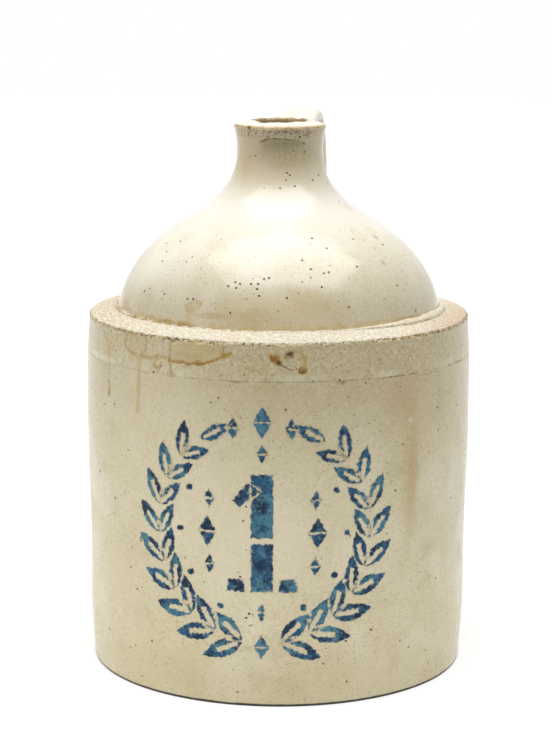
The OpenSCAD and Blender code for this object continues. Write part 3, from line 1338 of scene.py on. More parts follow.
    def fire_cobalt(self) -> Material:
        """Cobalt stain dabbed under the glaze: blue that pools, fades and dries the glaze.

        Returns:
            The material.
        """
        bench = self.start_wall("cobalt_under_glaze")
        inward = bench.add("Attribute", attribute_name=INWARD).outputs["Fac"]
        patchy = bench.span(bench.cloud(2, 0.3, 0.7, 2), 0, 1, -0.3, 0.3)
        depth = bench.joined("ADD", (inward, patchy))
        dabbed = bench.span(depth, 0.15, 0.8)
        bench.paint("#00527a", 0.98, dabbed)
        bench.paint("#00213f", 0.9, dabbed, bench.cloud(8, 0.46, 0.58, 4))
        bench.paint("#5590a4", 0.75, dabbed, bench.cloud(12, 0.5, 0.62, 3))
        bench.paint("#001c3a", 0.6, dabbed, bench.cloud(1.8, 0.52, 0.64, 3))
        bench.paint("#7ba3a4", 0.5, dabbed, bench.cloud(1.4, 0.56, 0.7, 3))
        # The blue's own gloss is half the glaze's, so that the white room doesn't grey it
        return self.body_glaze.end(bench, shine=0.25)


@dataclass
class Part:
    """What each sub-assembly has: the jug's sizes, its finishes and the photograph's camera."""

    sizes: JugSizes
    finishes: Finishes | None = None
    photo: Photo | None = None


@dataclass
class Body(Part):
    """The moulded wall with its foot ring and cove, and the floor bat pressed into it."""

    foot_draw: float = 2.8 * MM
    swell_draw: float = 0.9 * MM
    waist_draw: float = 1.1 * MM
    swell_share: float = 0.22
    waist_share: float = 0.36
    belly_share: float = 0.79
    cove: float = 12 * MM
    foot_round: float = 0.7 * MM
    row: float = 1.25 * MM
    steps: int = 560
    inner_rows: int = 22
    base_steps: int = 240
    base_rings: int = 30
    ring_rise: float = 0.25 * MM

    def radius(self, z: float) -> float:
        """The wall's outer side: foot, swell, waist and belly, then in to the joint.

        Args:
            z: A height.

        Returns:
            The radius there.
        """
        s = self.sizes
        places = [share * s.joint_z for share in
                  (0, self.swell_share, self.waist_share, self.belly_share, 1)]
        draws = [self.foot_draw, self.swell_draw, self.waist_draw, 0, s.belly_r - s.joint_r]
        k = max(i for i in range(4) if z >= places[i] or i == 0)
        share = (z - places[k]) / (places[k + 1] - places[k])
        share = math.sin(math.pi / 2 * share) if k == 0 else ease(share)
        return s.belly_r - mix(draws[k], draws[k + 1], share)

    def side(self) -> list[Vector]:
        """The wall's outer side.

        Returns:
            Its points, from the foot to the joint.
        """
        rows = round(self.sizes.joint_z / self.row)
        heights = [self.sizes.joint_z * i / rows for i in range(rows + 1)]
        return [Vector((self.radius(z), z)) for z in heights]

    def outline(self) -> list[Vector]:
        """The wall's whole section.

        Returns:
            Its points, from the foot up and down again inside.
        """
        s, side = self.sizes, self.side()
        foot = rounded(Vector((s.floor_r, 0)), side[0], side[1], self.foot_round, 4)
        cove_top = s.floor_z + self.cove
        cove_r = self.radius(cove_top) - s.wall
        inside = [Vector((self.radius(z) - s.wall, z))
                  for z in np.linspace(s.joint_z, cove_top, self.inner_rows)]
        corner = rounded(inside[-1] + Vector((0, MM)), Vector((cove_r, s.floor_z)),
                         Vector((0, s.floor_z)), self.cove)
        chamfer = [side[-1] - Vector((0, s.joint_up)), side[-1] - Vector((s.joint_in, 0))]
        return [Vector((s.floor_r, 0)), *foot, *side[1:-1], *chamfer, *inside, *corner[1:],
                Vector((s.floor_r, s.floor_z))]

    def weather(self, places: Array) -> None:
        """Pulls the outer skin in here and there, and opens the seam unevenly.

        Args:
            places: The wall's places, which it changes.
        """
        s = self.sizes
        skin = np.array([self.radius(min(z, s.joint_z)) for z in places[:, 2]])
        outer = from_axis(places) > skin - 2 * MM
        depth = HandWaves().depth(places, outer)
        near = outer & (places[:, 2] > s.joint_z - 0.5 * MM)
        depth[near] += s.opened(places[near])
        depth *= step_up(-0.5 * MM, 6 * MM, places[:, 2])
        push_in(places, depth)

    def build(self) -> None:
        """Builds and dresses the wall and the base."""
        s = self.sizes
        wall = spin_outline("glazed_body_wall", self.outline(), self.steps)
        shape(wall, self.weather)
        materials = (self.finishes.wall, self.finishes.clay, self.finishes.lining)
        dress(wall, Slot.BODY, materials, "body_wall")
        edge = s.belly_r - self.foot_draw - 0.5 * MM
        paint_faces(wall, 1, lambda r, z: z < 0.1 * MM and r < edge)
        paint_faces(wall, 2, lambda r, z: r < self.radius(z) - s.wall / 2 and z > s.floor_z / 2)
        self.build_base()

    def build_base(self) -> None:
        """The floor bat: sponged flat below, with shallow rings, and lined above."""
        s, rings = self.sizes, self.base_rings
        below = [Vector((s.floor_r * i / rings,
                         s.recess_z + self.ring_rise * (i % 5 == 2) * (i < rings - 1)))
                 for i in range(rings + 1)]
        above = [Vector((s.floor_r * i / 8, s.floor_z)) for i in range(8, -1, -1)]
        base = spin_outline("bare_base_disc", [*below, *above], self.base_steps)
        dress(base, Slot.CLAY, (self.finishes.clay, self.finishes.lining), "base_disc")
        middle = (s.recess_z + s.floor_z) / 2
        paint_faces(base, 1, lambda r, z: z > middle)


@dataclass
class Shoulder(Part):
    """The ring with the bare ledge, and the slip squeezed out where the dome sits on it."""

    ledge_round: float = 1.6 * MM
    seat: float = 8 * MM
    steps: int = 900
    chip_high: float = 1.3 * MM
    chip_deep: float = 0.55 * MM
    small_chips: int = 70
    slip_w: float = 3.4 * MM
    slip_h: float = 2.5 * MM
    slip_sunk: float = 0.4 * MM
    slip_steps: int = 640

    def corners(self) -> tuple[Vector, Vector, Vector]:
        """The section's joint edge, ledge edge and dome foot."""
        s = self.sizes
        return (Vector((s.joint_r, s.joint_z)), Vector((s.ledge_r, s.ledge_z)),
                Vector((s.dome_r, s.seat_z)))

    def outline(self) -> list[Vector]:
        """The ring's section.

        Returns:
            Its points, from the joint up, over the ledge and back inside.
        """
        s = self.sizes
        joint, edge, foot = self.corners()
        chamfer = [joint - Vector((s.joint_in, 0)), joint + Vector((0, s.joint_up))]
        band = spaced([chamfer[1], edge - Vector((0, 3 * MM))], 0.7 * MM)
        corner = rounded(joint, edge, foot, self.ledge_round, 10)
        near = spaced([band[-1], corner[0]], 0.35 * MM)[1:]
        ledge = spaced([corner[-1], foot], 0.6 * MM)[1:]
        lip_in, under = s.dome_r - s.dome_wall, s.seat_z - self.seat
        wall_in = s.joint_r - s.wall
        cove = rounded(Vector((lip_in, under)), Vector((wall_in, under)),
                       Vector((wall_in, s.joint_z)), (wall_in - lip_in) / 2)
        return [chamfer[0], *band, *near, *corner[1:], *ledge, Vector((lip_in, s.seat_z)),
                Vector((lip_in, under)), *cove, Vector((wall_in, s.joint_z))]

    def chips(self) -> list[Bite]:
        """Chips along the ledge's arris: those of the photograph, and others all round.

        Returns:
            The chips.
        """
        s, rng = self.sizes, random.Random(11)
        # Pixel of the photograph and width of each chip that shows there
        seen = ((172, 341, 3.4), (186, 341, 1.6), (200, 342, 1.4), (213, 343, 1.6), (222, 343, 2.2),
                (348, 342, 1.4), (384, 339, 2.6), (396, 338, 2.0), (420, 336, 1.8), (432, 334, 2.4),
                (469, 318, 3.0), (118, 330, 1.6), (100, 322, 2.0))
        bites = [Bite(self.photo.point_on(x, y), wide * MM, self.chip_high, self.chip_deep)
                 for x, y, wide in seen]
        for _ in range(self.small_chips):
            turn = rng.uniform(0, math.tau)
            centre = Vector((math.cos(turn) * s.ledge_r, math.sin(turn) * s.ledge_r,
                             s.ledge_z - rng.uniform(0, 1.2) * MM))
            bites.append(Bite(centre, rng.uniform(0.9, 2.6) * MM, rng.uniform(0.7, 1.4) * MM,
                              rng.uniform(0.15, 0.5) * MM))
        return bites

    def weather(self, places: Array) -> None:
        """Pulls the band in, roughens the ledge and chips its arris.

        Args:
            places: The ring's places, which it changes.
        """
        s = self.sizes
        _, edge, foot = self.corners()
        radii = from_axis(places)
        outer = (radii > s.joint_r - 4 * MM) & (places[:, 2] < s.ledge_z + 0.6 * MM)
        depth = HandWaves().depth(places, outer)
        near = outer & (places[:, 2] < s.joint_z + 0.4 * MM)
        depth[near] += s.opened(places[near])
        rim = outer & (places[:, 2] > s.ledge_z - 2 * MM)
        depth[rim] += 0.16 * MM * step_up(-0.3, 0.7, noise_at(places[rim], 2.4 * MM, 5))
        for bite in self.chips():
            depth += bite.depth(places)
        push_in(places, depth)
        slope = (foot.y - edge.y) / (edge.x - foot.x)
        level = edge.y + (edge.x - radii) * slope
        top = (radii > s.dome_r + 0.1 * MM) & (np.abs(places[:, 2] - level) < 1.2 * MM)
        rough = 0.16 * noise_at(places[top], 2.2 * MM, 6) + 0.2 * noise_at(places[top], 14 * MM, 7)
        places[top, 2] += np.minimum(rough - 0.12, 0.1) * MM

    def slip_outline(self) -> list[Vector]:
        """The slip roll's section: a quarter bead in the corner of ledge and dome.

        Returns:
            Its points.
        """
        _, edge, foot = self.corners()
        up = self.sizes.top_side(0.03) - foot
        on_dome = foot + up * (self.slip_h / up.y)
        on_ledge = foot + self.slip_w * (edge - foot).normalized()
        bulge = on_dome.lerp(on_ledge, 0.5).lerp(Vector((on_ledge.x, on_dome.y)), 0.8)
        arc = [on_ledge.lerp(bulge, t).lerp(bulge.lerp(on_dome, t), t)
               for t in np.linspace(0, 1, 11)]
        return [foot - Vector((self.slip_sunk, 0)), *arc]

    def squeeze(self, places: Array) -> None:
        """Makes the slip thin in front, heavy on the left and smeared out on the right.

        Args:
            places: The roll's places, which it changes.
        """
        s = self.sizes
        foot_r = s.dome_r - self.slip_sunk
        turn = np.arctan2(places[:, 0], -places[:, 1]) - self.photo.azimuth
        turn = (turn + math.pi) % math.tau - math.pi
        side = (step_up(math.radians(20), math.radians(56), turn)
                + 0.45 * step_up(math.radians(-40), math.radians(-80), turn))
        ring = places * (1, 1, 0) + (0, 0, s.seat_z)
        radii = from_axis(places)
        ring[:, :2] *= (s.dome_r / radii)[:, None]
        lumps = 0.5 + 0.5 * noise_at(ring, 9 * MM, 8)
        fine = 0.5 + 0.5 * noise_at(ring, 2.6 * MM, 9)
        size = np.clip((0.12 + 0.66 * side) * (0.6 + 0.5 * lumps) + 0.08 * fine, 0.1, 0.96)
        reach = (radii - foot_r) * size
        places[:, 2] = s.seat_z + (places[:, 2] - s.seat_z) * size
        places[:, :2] *= ((foot_r + reach) / radii)[:, None]

    def build(self) -> None:
        """Builds and dresses the ring and the slip."""
        s = self.sizes
        ring = spin_outline("glazed_shoulder_ring", self.outline(), self.steps)
        shape(ring, self.weather)
        dress(ring, Slot.BODY, (self.finishes.band, self.finishes.lining), "shoulder_ring")
        paint_faces(ring, 1, lambda r, z: r < s.dome_r - MM
                    or (r < s.joint_r - s.wall / 2 and z < s.ledge_z - 3 * MM))
        slip = spin_outline("luting_slip_roll", self.slip_outline(), self.slip_steps)
        shape(slip, self.squeeze)
        dress(slip, Slot.CLAY, (self.finishes.slip,), "shoulder_seam_slip")


@dataclass
class Top(Part):
    """The domed top and the neck with its lip, each a thrown piece."""

    collar_share: float = 0.8
    inner_drop_share: float = 0.9
    inner_down_share: float = 0.14
    lip_round: float = 1.2 * MM
    mouth_round: float = 2.4 * MM
    skin_deep: float = 2.5 * MM
    lining_down: float = 16 * MM
    dome_rows: int = 88
    inner_rows: int = 30
    dome_steps: int = 480
    collar_steps: int = 360
    brow_pixel: tuple[float, float] = (282.5, 140)
    dent_wide: float = 9.6 * MM
    dent_high: float = 10 * MM
    dent_deep: float = 1.5 * MM
    brow_arch: float = 1.3 * MM
    brow_rise: float = 0.45 * MM

    def dome_side(self) -> list[Vector]:
        """The dome's outer side, from the ledge up."""
        rows = self.dome_rows
        return [self.sizes.top_side(self.collar_share * i / rows) for i in range(rows + 1)]

    def inside(self) -> list[Vector]:
        """The dome's inner side.

        Returns:
            Its points, from the ledge up to the neck's bore.
        """
        s = self.sizes
        curve = (
            Vector((s.dome_r - s.dome_wall, s.seat_z)),
            Vector((s.dome_r * (1 - s.top_lean) - s.dome_wall,
                    s.seat_z + s.top_swell * s.dome_rise - self.inner_drop_share * s.dome_wall)),
            Vector((s.mouth_r, mix(s.collar_z, s.top_side(0).y, self.inner_down_share))),
            Vector((s.mouth_r, s.collar_z)))
        return [bezier(*curve, t) for t in shares(self.inner_rows)]

    def collar_side(self) -> list[Vector]:
        """The neck's outer side with the flare and the lip's edge.

        Returns:
            Its points, from the dome up.
        """
        s = self.sizes
        hollow = [s.top_side(mix(self.collar_share, 1, t)) for t in shares(40)]
        flare = [Vector((mix(s.neck_r, s.lip_r, 1 - math.cos(math.pi / 2 * i / 30)),
                         mix(s.waist_z, s.lip_z, i / 30))) for i in range(1, 28)]
        lip = rounded(Vector((s.lip_r, s.waist_z)), Vector((s.lip_r, s.lip_z)),
                      Vector((s.mouth_r, s.top_z)), self.lip_round, 8)
        return [*hollow, *flare, *lip]

    def rim(self) -> list[Vector]:
        """The lip's crown and the mouth's edge, down into the bore."""
        s = self.sizes
        return rounded(Vector((s.lip_r, s.lip_z)), Vector((s.mouth_r, s.top_z)),
                       Vector((s.mouth_r, s.collar_z)), self.mouth_round, 8)

    def weather_dome(self, places: Array) -> None:
        """Pulls the dome's outer skin in.

        Args:
            places: The dome's places, which it changes.
        """
        skin, lining = Side(self.dome_side()), Side(self.inside())
        # A side gives no radius past its ends, and the ends are rounded numbers
        ends = self.sizes.seat_z, min(skin.heights[-1], self.sizes.collar_z)
        heights = np.clip(places[:, 2], *ends)
        middle = (skin.radius(heights) + lining.radius(heights)) / 2
        push_in(places, HandWaves().depth(places, from_axis(places) > middle))

    def dent(self, places: Array) -> Array:
        """The dent that a thumb left in front: an arched brow with a hollow under it.

        Args:
            places: The collar's places.

        Returns:
            How far it pushes each of them in.
        """
        brow = self.photo.point_on(*self.brow_pixel)
        out = Vector((brow.x, brow.y, 0)).normalized()
        away = places - np.array(brow)
        across = away @ np.array(UP.cross(out)) / self.dent_wide
        below = -away[:, 2] - self.brow_arch * across ** 2 + 0.25 * MM * noise_at(
            places, 4 * MM, 15)
        hollow = step_up(-0.2 * MM, 0.4 * MM, below) * (1 - np.clip(below / self.dent_high, 0, 1))
        roll = step_up(-2.4 * MM, -0.9 * MM, below) * step_up(0.1 * MM, -0.5 * MM, below)
        fade = np.sqrt(np.clip(1 - across ** 2, 0, 1)) * (places @ np.array(out) > 0)
        return (self.dent_deep * hollow - self.brow_rise * roll) * fade

    def weather_collar(self, places: Array) -> None:
        """Pulls the neck's skin in, presses the dent in front and nicks the lip.

        Args:
            places: The collar's places, which it changes.
        """
        s = self.sizes
        radii = from_axis(places)
        outer = radii > s.mouth_r + 3.2 * MM
        depth = HandWaves().depth(places, outer)
        depth += self.dent(places) * outer
        # Pixel of the photograph and width of each nick
        for x, y, wide in ((249, 125, 1.6), (262, 126, 1.0), (308, 130, 1.8)):
            nick = Bite(self.photo.point_on(x, y), wide * MM, 0.9 * MM, 0.6 * MM)
            depth += nick.depth(places) * outer
        push_in(places, depth)
        lip = places[:, 2] > s.lip_z - 2 * MM
        inner = step_up(s.mouth_r + 6 * MM, s.mouth_r + 2 * MM, radii[lip])
        sag = (0.3 * noise_at(places[lip], 13 * MM, 12) + 0.12 * noise_at(places[lip], 3 * MM, 13)
               + 0.5 * inner * noise_at(places[lip], 6 * MM, 14))
        reach = step_up(s.lip_z - 2 * MM, s.lip_z, places[lip, 2])
        places[lip, 2] += (np.minimum(sag - 0.1, 0.1) * MM + s.lip_lift) * reach

    def build(self) -> None:
        """Builds and dresses the dome and the collar."""
        s, outer = self.sizes, self.dome_side()
        dome = spin_outline("glazed_dome_top", [*outer, *reversed(self.inside())], self.dome_steps)
        shape(dome, self.weather_dome)
        dress(dome, Slot.TOP, (self.finishes.dome, self.finishes.lining), "dome_top")
        skin = Side(outer)
        last = skin.heights[-1]
        paint_faces(dome, 1, lambda r, z: r < skin.radius(min(z, last)) - self.skin_deep)
        side, rim = self.collar_side(), self.rim()
        crown = spaced([side[-1], rim[0]], 0.8 * MM)[1:-1]
        bore = spaced([rim[-1], Vector((s.mouth_r, s.collar_z))], 3 * MM)[1:]
        collar = spin_outline("glazed_neck_collar", [*side, *crown, *rim, *bore], self.collar_steps)
        shape(collar, self.weather_collar)
        dress(collar, Slot.TOP, (self.finishes.neck, self.finishes.lining), "neck_collar")
        paint_faces(collar, 1, lambda r, z: r < s.mouth_r + 0.35 * MM
                    and z < s.top_z - self.lining_down)


# A section of a strap or pad: its place as (y, z), the run of the clay there, and its points
Ring = tuple[Vector, Vector, list[Vector]]


@dataclass
class Handle(Part):
    """The pulled strap behind the neck, and the clay worked round its two ends."""

    width: float = 18.5 * MM
    end_width: float = 22 * MM
    thick: float = 9 * MM
    finger: float = 31.2 * MM
    rise: float = 3.6 * MM
    root_up: float = 3 * MM
    root_angle: float = math.radians(34)
    upper_pad: float = 5.2 * MM
    lower_pad: float = 7 * MM
    spread: float = 4 * MM
    top_share: float = 0.58
    out_share: float = 0.46
    splay_share: float = 0.25
    pull_share: float = 0.55
    end_pull_share: float = 0.36
    groove: float = 0.7 * MM
    tongue: float = 8 * MM
    sunk: float = 0.8 * MM
    deepest: float = 2.5 * MM
    square: float = 0.8
    groove_at: float = 0.36
    groove_wide: float = 0.17
    sides: int = 48
    rings: int = 14

    @property
    def leave(self) -> Vector:
        """The direction in which the strap leaves the neck."""
        return Vector((math.cos(self.root_angle), math.sin(self.root_angle)))

    def spans(self) -> list[tuple[Vector, Vector, Vector, Vector]]:
        """The strap's centre line.

        Returns:
            Three curves of (y, z): up to its top, out, and down.
        """
        s = self.sizes
        out_y = s.neck_r + self.finger + self.thick / 2
        foot_y = out_y + self.splay_share * self.thick
        dome = sorted(s.top_points(60), key=lambda p: p.x)
        foot_z = float(np.interp(foot_y, [p.x for p in dome], [p.y for p in dome]))
        root = Vector((s.neck_r + self.upper_pad, s.waist_z + self.root_up))
        top = Vector((s.neck_r + self.top_share * (self.finger + self.thick),
                      s.top_z + self.rise - self.thick / 2))
        foot = Vector((foot_y, foot_z + self.lower_pad))
        out = Vector((out_y, mix(top.y, foot.y, self.out_share)))
        land = Vector((2 * (foot.x - out.x), foot.y - out.y)).normalized()
        pull, ends = self.pull_share, self.end_pull_share
        return [
            (root, root + ends * (top - root).length * self.leave,
             top - Vector((pull * (top.x - root.x), 0)), top),
            (top, top + Vector((pull * (out.x - top.x), 0)),
             out + Vector((0, pull * (top.y - out.y))), out),
            (out, out - Vector((0, ends * (out.y - foot.y))),
             foot - ends * (out - foot).length * land, foot)]

    def section(self, wide: float, thick: float, groove: float) -> list[Vector]:
        """The strap's section: a squared ellipse, grooved along its outside.

        Args:
            wide: Its width.
            thick: Its thickness.
            groove: The grooves' depth.

        Returns:
            Its points as (across, over).
        """
        points = []
        for i in range(self.sides):
            a = math.tau * i / self.sides
            across, over = (math.copysign(abs(way) ** self.square, way)
                            for way in (math.cos(a), math.sin(a)))
            off = (abs(across) - self.groove_at) / self.groove_wide
            dip = groove * math.exp(-off ** 2) * max(0.0, math.sin(a))
            points.append(Vector((across * wide / 2, over * thick / 2 - dip)))
        return points

    @staticmethod
    def at(curve: Sequence[Vector], t: float, step: float) -> tuple[Vector, Vector]:
        """A place on a curve and the run of the clay there.

        Args:
            curve: The curve's four points.
            t: Where on it.
            step: How far to each side the run is read.

        Returns:
            The place, and the run as a unit vector.
        """
        run = bezier(*curve, min(t + step, 1)) - bezier(*curve, max(t - step, 0))
        return bezier(*curve, t), run.normalized()

    def loft(self, name: str, rings: Sequence[Ring]) -> Piece:
        """Extrudes a section from place to place and caps both ends.

        Args:
            name: The piece's name.
            rings: The section at each place.

        Returns:
            The closed piece.
        """
        piece = started(bpy.ops.mesh.primitive_circle_add, name, vertices=self.sides, radius=MM,
                        fill_type="NGON")
        with editing():
            for _ in rings[1:]:
                bpy.ops.mesh.extrude_region_move(TRANSFORM_OT_translate={"value": (0, 0, MM)})
        places = []
        for place, run, section in rings:
            for p in section:
                places.append((p.x, place.x - p.y * run.y, place.y + p.y * run.x))
        order = sorted(piece.data.vertices, key=lambda v: (round(v.co.z / MM), self.angle(v.co)))
        for vertex, place in zip(order, places):
            vertex.co = place
        with editing():
            merge_doubles()
            bpy.ops.mesh.normals_make_consistent(inside=False)
        return piece

    @staticmethod
    def angle(place: Vector) -> float:
        """A ring vertex's angle from +X, from 0 up."""
        return round(math.atan2(place.y, place.x) % math.tau, 5) % round(math.tau, 5)

    def strap_rings(self) -> list[Ring]:
        """The strap's sections.

        Returns:
            The sections, from the neck to the dome.
        """
        rings = []
        spans = self.spans()
        for k, span in enumerate(spans):
            for t in shares(self.rings)[min(k, 1):]:
                share = (k + t) / len(spans)
                wide = mix(self.width, self.end_width, (2 * share - 1) ** 2)
                fade = math.sin(math.pi * min(1.0, share)) ** 0.5
                section = self.section(wide, self.thick, self.groove * fade)
                rings.append((*self.at(span, t, 0.01), section))
        return rings

    def pad(self, name: str, path: Sequence[Vector], tail: tuple[float, float], swell: float,
            sink: float) -> Piece:
        """The clay worked round one end of the strap and smeared out on the skin.

        Args:
            name: The piece's name.
            path: Its centre line as a curve of (y, z), from the strap's end to the skin.
            tail: Its width and thickness at the end.
            swell: How much it swells on the way.
            sink: Share of its length past which it sinks into the skin.

        Returns:
            The piece.
        """
        rings = []
        for t in shares(self.rings):
            bulge = swell * math.sin(math.pi * t)
            wide = mix(self.end_width, tail[0], t ** 2.4) + bulge
            thick = mix(self.thick, tail[1], ease(t)) + bulge
            rings.append((*self.at(path, t, 0.02), self.section(wide, thick, 0)))
        piece = self.loft(name, rings)
        along = path[-1] - path[0]
        shape(piece, lambda places: self.seat(places, path[0], along, sink))
        return piece

    def seat(self, places: Array, start: Vector, along: Vector, sink: float) -> None:
        """Smooths a pad's end into the neck or the dome, less than half a wall deep.

        Args:
            places: The pad's places, which it changes.
            start: Where it starts, as (y, z).
            along: From there to its end.
            sink: Share of its length past which it sinks.
        """
        s = self.sizes
        radii = from_axis(places)
        skin = Side([*s.top_points(80), Vector((s.neck_r, s.top_z))]).radius(places[:, 2])
        share = ((places[:, 1] - start.x) * along.x
                 + (places[:, 2] - start.y) * along.y) / along.length_squared
        down = step_up(sink, 1.0, share)
        sunk = radii * (1 - down) + (skin - self.sunk) * down
        target = np.minimum(radii, np.maximum(sunk, skin - self.sunk))
        target = np.maximum(target, skin - self.deepest)
        places[:, :2] *= (target / np.maximum(radii, MM))[:, None]

    def build(self) -> None:
        """Builds and dresses the strap and its two pads."""
        s, spans = self.sizes, self.spans()
        root, foot = spans[0][0], spans[-1][-1]
        land = (foot - spans[-1][2]).normalized()
        deep = self.upper_pad + 1.3 * self.spread
        upper = [root - self.leave * (deep * i / 3) for i in range(4)]
        dome = Side(s.top_points(60))
        end = next(p for p in (s.top_side(1 - i / 200) for i in range(201))
                   if p.x > foot.x + self.tongue)
        slope = Vector((dome.radius(end.y - MM) - dome.radius(end.y), -MM)).normalized()
        lower = (foot, foot + self.lower_pad * land, end - self.tongue * slope, end)
        grown = 2 * self.spread
        upper_tail = (self.end_width + grown, self.thick + grown)
        lower_tail = (0.6 * self.end_width, 2 * MM)
        pieces = {
            "handle_strap": self.loft("glazed_handle_strap", self.strap_rings()),
            "handle_upper_pad": self.pad("glazed_handle_upper_pad", upper, upper_tail, 0, 0.4),
            "handle_lower_pad": self.pad("glazed_handle_lower_pad", lower, lower_tail,
                                         2.4 * MM, 0.6)}
        for node, piece in pieces.items():
            dress(piece, Slot.TOP, (self.finishes.handle,), node)


@dataclass
class CobaltMark(Part):
    """The blue stencilled mark: two laurel sprays round a plain numeral.

    Shapes are drawn flat, u to the right and v up from the mark's middle, and then laid on
    the wall. The vertex attribute says how far inside its shape's edge each point lies.
    """

    turn: float = math.radians(9.6)
    middle_z: float = 80 * MM
    wreath_r: float = 50 * MM
    leaf_long: float = 20.5 * MM
    leaf_wide: float = 9 * MM
    leaf_lean: float = math.radians(34)
    leaf_shrink: float = 0.22
    inner_leaf: float = 0.92
    tip_lean: float = 0.12
    leaf_pairs: int = 9
    slit: float = 1.5 * MM
    berry: float = 3.8 * MM
    berry_in: float = 11.5 * MM
    berry_turn: float = 0.07
    numeral_high: float = 54 * MM
    numeral_wide: float = 10.5 * MM
    bridge: float = 1.8 * MM
    cell: float = 0.8 * MM
    edge_fade: float = 1.0 * MM
    wobble: float = 0.25 * MM
    lift: float = 0.02 * MM
    skin: float = 0.05 * MM

    def tab(self, width: float, height: float, taper: float = 1.0, lean: float = 0.0) -> Piece:
        """A stencil opening with straight sides, centred on its lower edge.

        Args:
            width: Width at its lower edge.
            height: Height.
            taper: Width at its upper edge, as a share of the lower.
            lean: How far its upper edge is moved right.

        Returns:
            The flat shape.
        """
        columns, rows = (max(3, round(size / self.cell)) for size in (width, height))
        piece = started(bpy.ops.mesh.primitive_grid_add, x_subdivisions=columns,
                        y_subdivisions=rows, size=1)

        def mover(places: Array) -> None:
            share = places[:, 1] + 0.5
            places[:, 0] = places[:, 0] * width * (1 + (taper - 1) * share) + lean * share
            places[:, 1] = height * share

        shape(piece, mover)
        return piece

    def leaf(self) -> Piece:
        """One leaf along +u from its stalk, with the stencil's slit for a midrib.

        Returns:
            The flat shape.
        """
        columns, rows = round(self.leaf_long / self.cell), 9
        piece = started(bpy.ops.mesh.primitive_grid_add, x_subdivisions=columns,
                        y_subdivisions=rows, size=1)
        half_slit = self.slit / 2

        def mover(places: Array) -> None:
            share = places[:, 0] + 0.5
            row = np.round((places[:, 1] + 0.5) * rows)
            side = np.where(row > rows / 2, 1, -1)
            out = (np.abs(row - rows / 2) - 0.5) / (rows / 2 - 0.5)
            half = self.leaf_wide / 2 * np.sin(math.pi * share ** 0.85) ** 0.8
            inner = np.minimum(half_slit * step_up(0, 0.2, share) * step_up(1, 0.7, share), half)
            places[:, 0] = self.leaf_long * share
            places[:, 1] = side * (inner + (half - inner) * out)

        shape(piece, mover)
        with editing():
            bpy.ops.mesh.select_mode(type="FACE")
            bpy.ops.mesh.select_all(action="DESELECT")
        for face in piece.data.polygons:
            middle = abs(face.center.y) < half_slit / 4
            face.select = middle and 0.1 < face.center.x / self.leaf_long < 0.62
        with editing():
            bpy.ops.mesh.delete(type="FACE")
            merge_doubles()
        return piece

    @staticmethod
    def round_dot(radius: float) -> Piece:
        """A round opening with rings, so that it can bend to the wall.

        Args:
            radius: Its radius.

        Returns:
            The flat shape.
        """
        piece = started(bpy.ops.mesh.primitive_circle_add, vertices=20, radius=radius,
                        fill_type="NGON")
        with editing():
            for share in (0.4, 0.35):
                bpy.ops.mesh.inset(thickness=radius * share, depth=0)
        return piece

    @staticmethod
    def placed(parts: Sequence[tuple[Piece, float, float, float, float]], side: int = 1
               ) -> list[Piece]:
        """Puts copies of flat shapes in their places, and takes the shapes away.

        Args:
            parts: The shape, u, v, turn and scale of each copy.
            side: -1 where the drawing is mirrored, else 1.

        Returns:
            The copies, each with its own mesh and facing up.
        """
        made = []
        for piece, u, v, turn, scale in parts:
            place = (Matrix.Scale(side, 4, (1, 0, 0)) @ Matrix.Translation((u, v, 0))
                     @ Matrix.Rotation(turn, 4, "Z") @ Matrix.Scale(scale, 4))
            copy = piece.copy()
            copy.data = piece.data.copy()
            copy.data.transform(place)
            if side < 0:
                copy.data.flip_normals()
            bpy.context.scene.collection.objects.link(copy)
            made.append(copy)
        for name in sorted({piece.name for piece, *_ in parts}):
            bpy.data.objects.remove(bpy.data.objects[name])
        return made

    def spray(self, side: int) -> list[Piece]:
        """One laurel spray: its stem's short bars, its leaves in pairs and its berries.

        Args:
            side: 1 for the right spray and -1 for the left.

        Returns:
            The flat shapes.
        """
        leaf, berry = self.leaf(), self.round_dot(self.berry / 2)
        bar = self.tab(2.2 * MM, 7 * MM, 0.8)
        low, high = math.radians(-80), math.radians(56)
        inner = self.wreath_r - self.berry_in
        parts = []
        for i in range(self.leaf_pairs + 1):
            along = i / self.leaf_pairs
            a = mix(low, high, along)
            grow = a + math.pi / 2
            u, v = self.wreath_r * math.cos(a), self.wreath_r * math.sin(a)
            scale = 1.0 - self.leaf_shrink * along
            if i == self.leaf_pairs:
                parts.append((leaf, u, v, grow + self.tip_lean, scale))
                break
            parts.append((leaf, u, v, grow - self.leaf_lean, scale))
            parts.append((leaf, u, v, grow + self.leaf_lean, scale * self.inner_leaf))
            parts.append((bar, u, v, a, 1.0))
            if i % 2:
                aside = a + self.berry_turn
                parts.append((berry, inner * math.cos(aside), inner * math.sin(aside), 0, 1.0))
        return self.placed(parts, side)

    def numeral(self) -> list[Piece]:
        """A plain numeral one with slabs, broken by the stencil's bridges.

        Returns:
            The flat shapes.
        """
        wide, high, gap = self.numeral_wide, self.numeral_high, self.bridge
        slab = 6.4 * MM
        low = -high / 2
        stem_low, stem_high = high * 0.42, high * 0.58 - gap
        pieces = [
            (self.tab(wide, stem_low), 0, low, 0, 1),
            (self.tab(wide, stem_high), 0, low + stem_low + gap, 0, 1),
            (self.tab(wide * 0.9, slab, 0.8, -0.4 * MM), wide * 0.97 + gap, low, 0, 1),
            (self.tab(wide * 0.9, slab, 0.8, 0.4 * MM), -wide * 0.97 - gap, low, 0, 1),
            (self.tab(5.2 * MM, 12 * MM, 1.4, 1.6 * MM), -wide * 0.5 - gap - 4.8 * MM,
             low + high * 0.74, math.radians(-38), 1)]
        return self.placed(pieces)

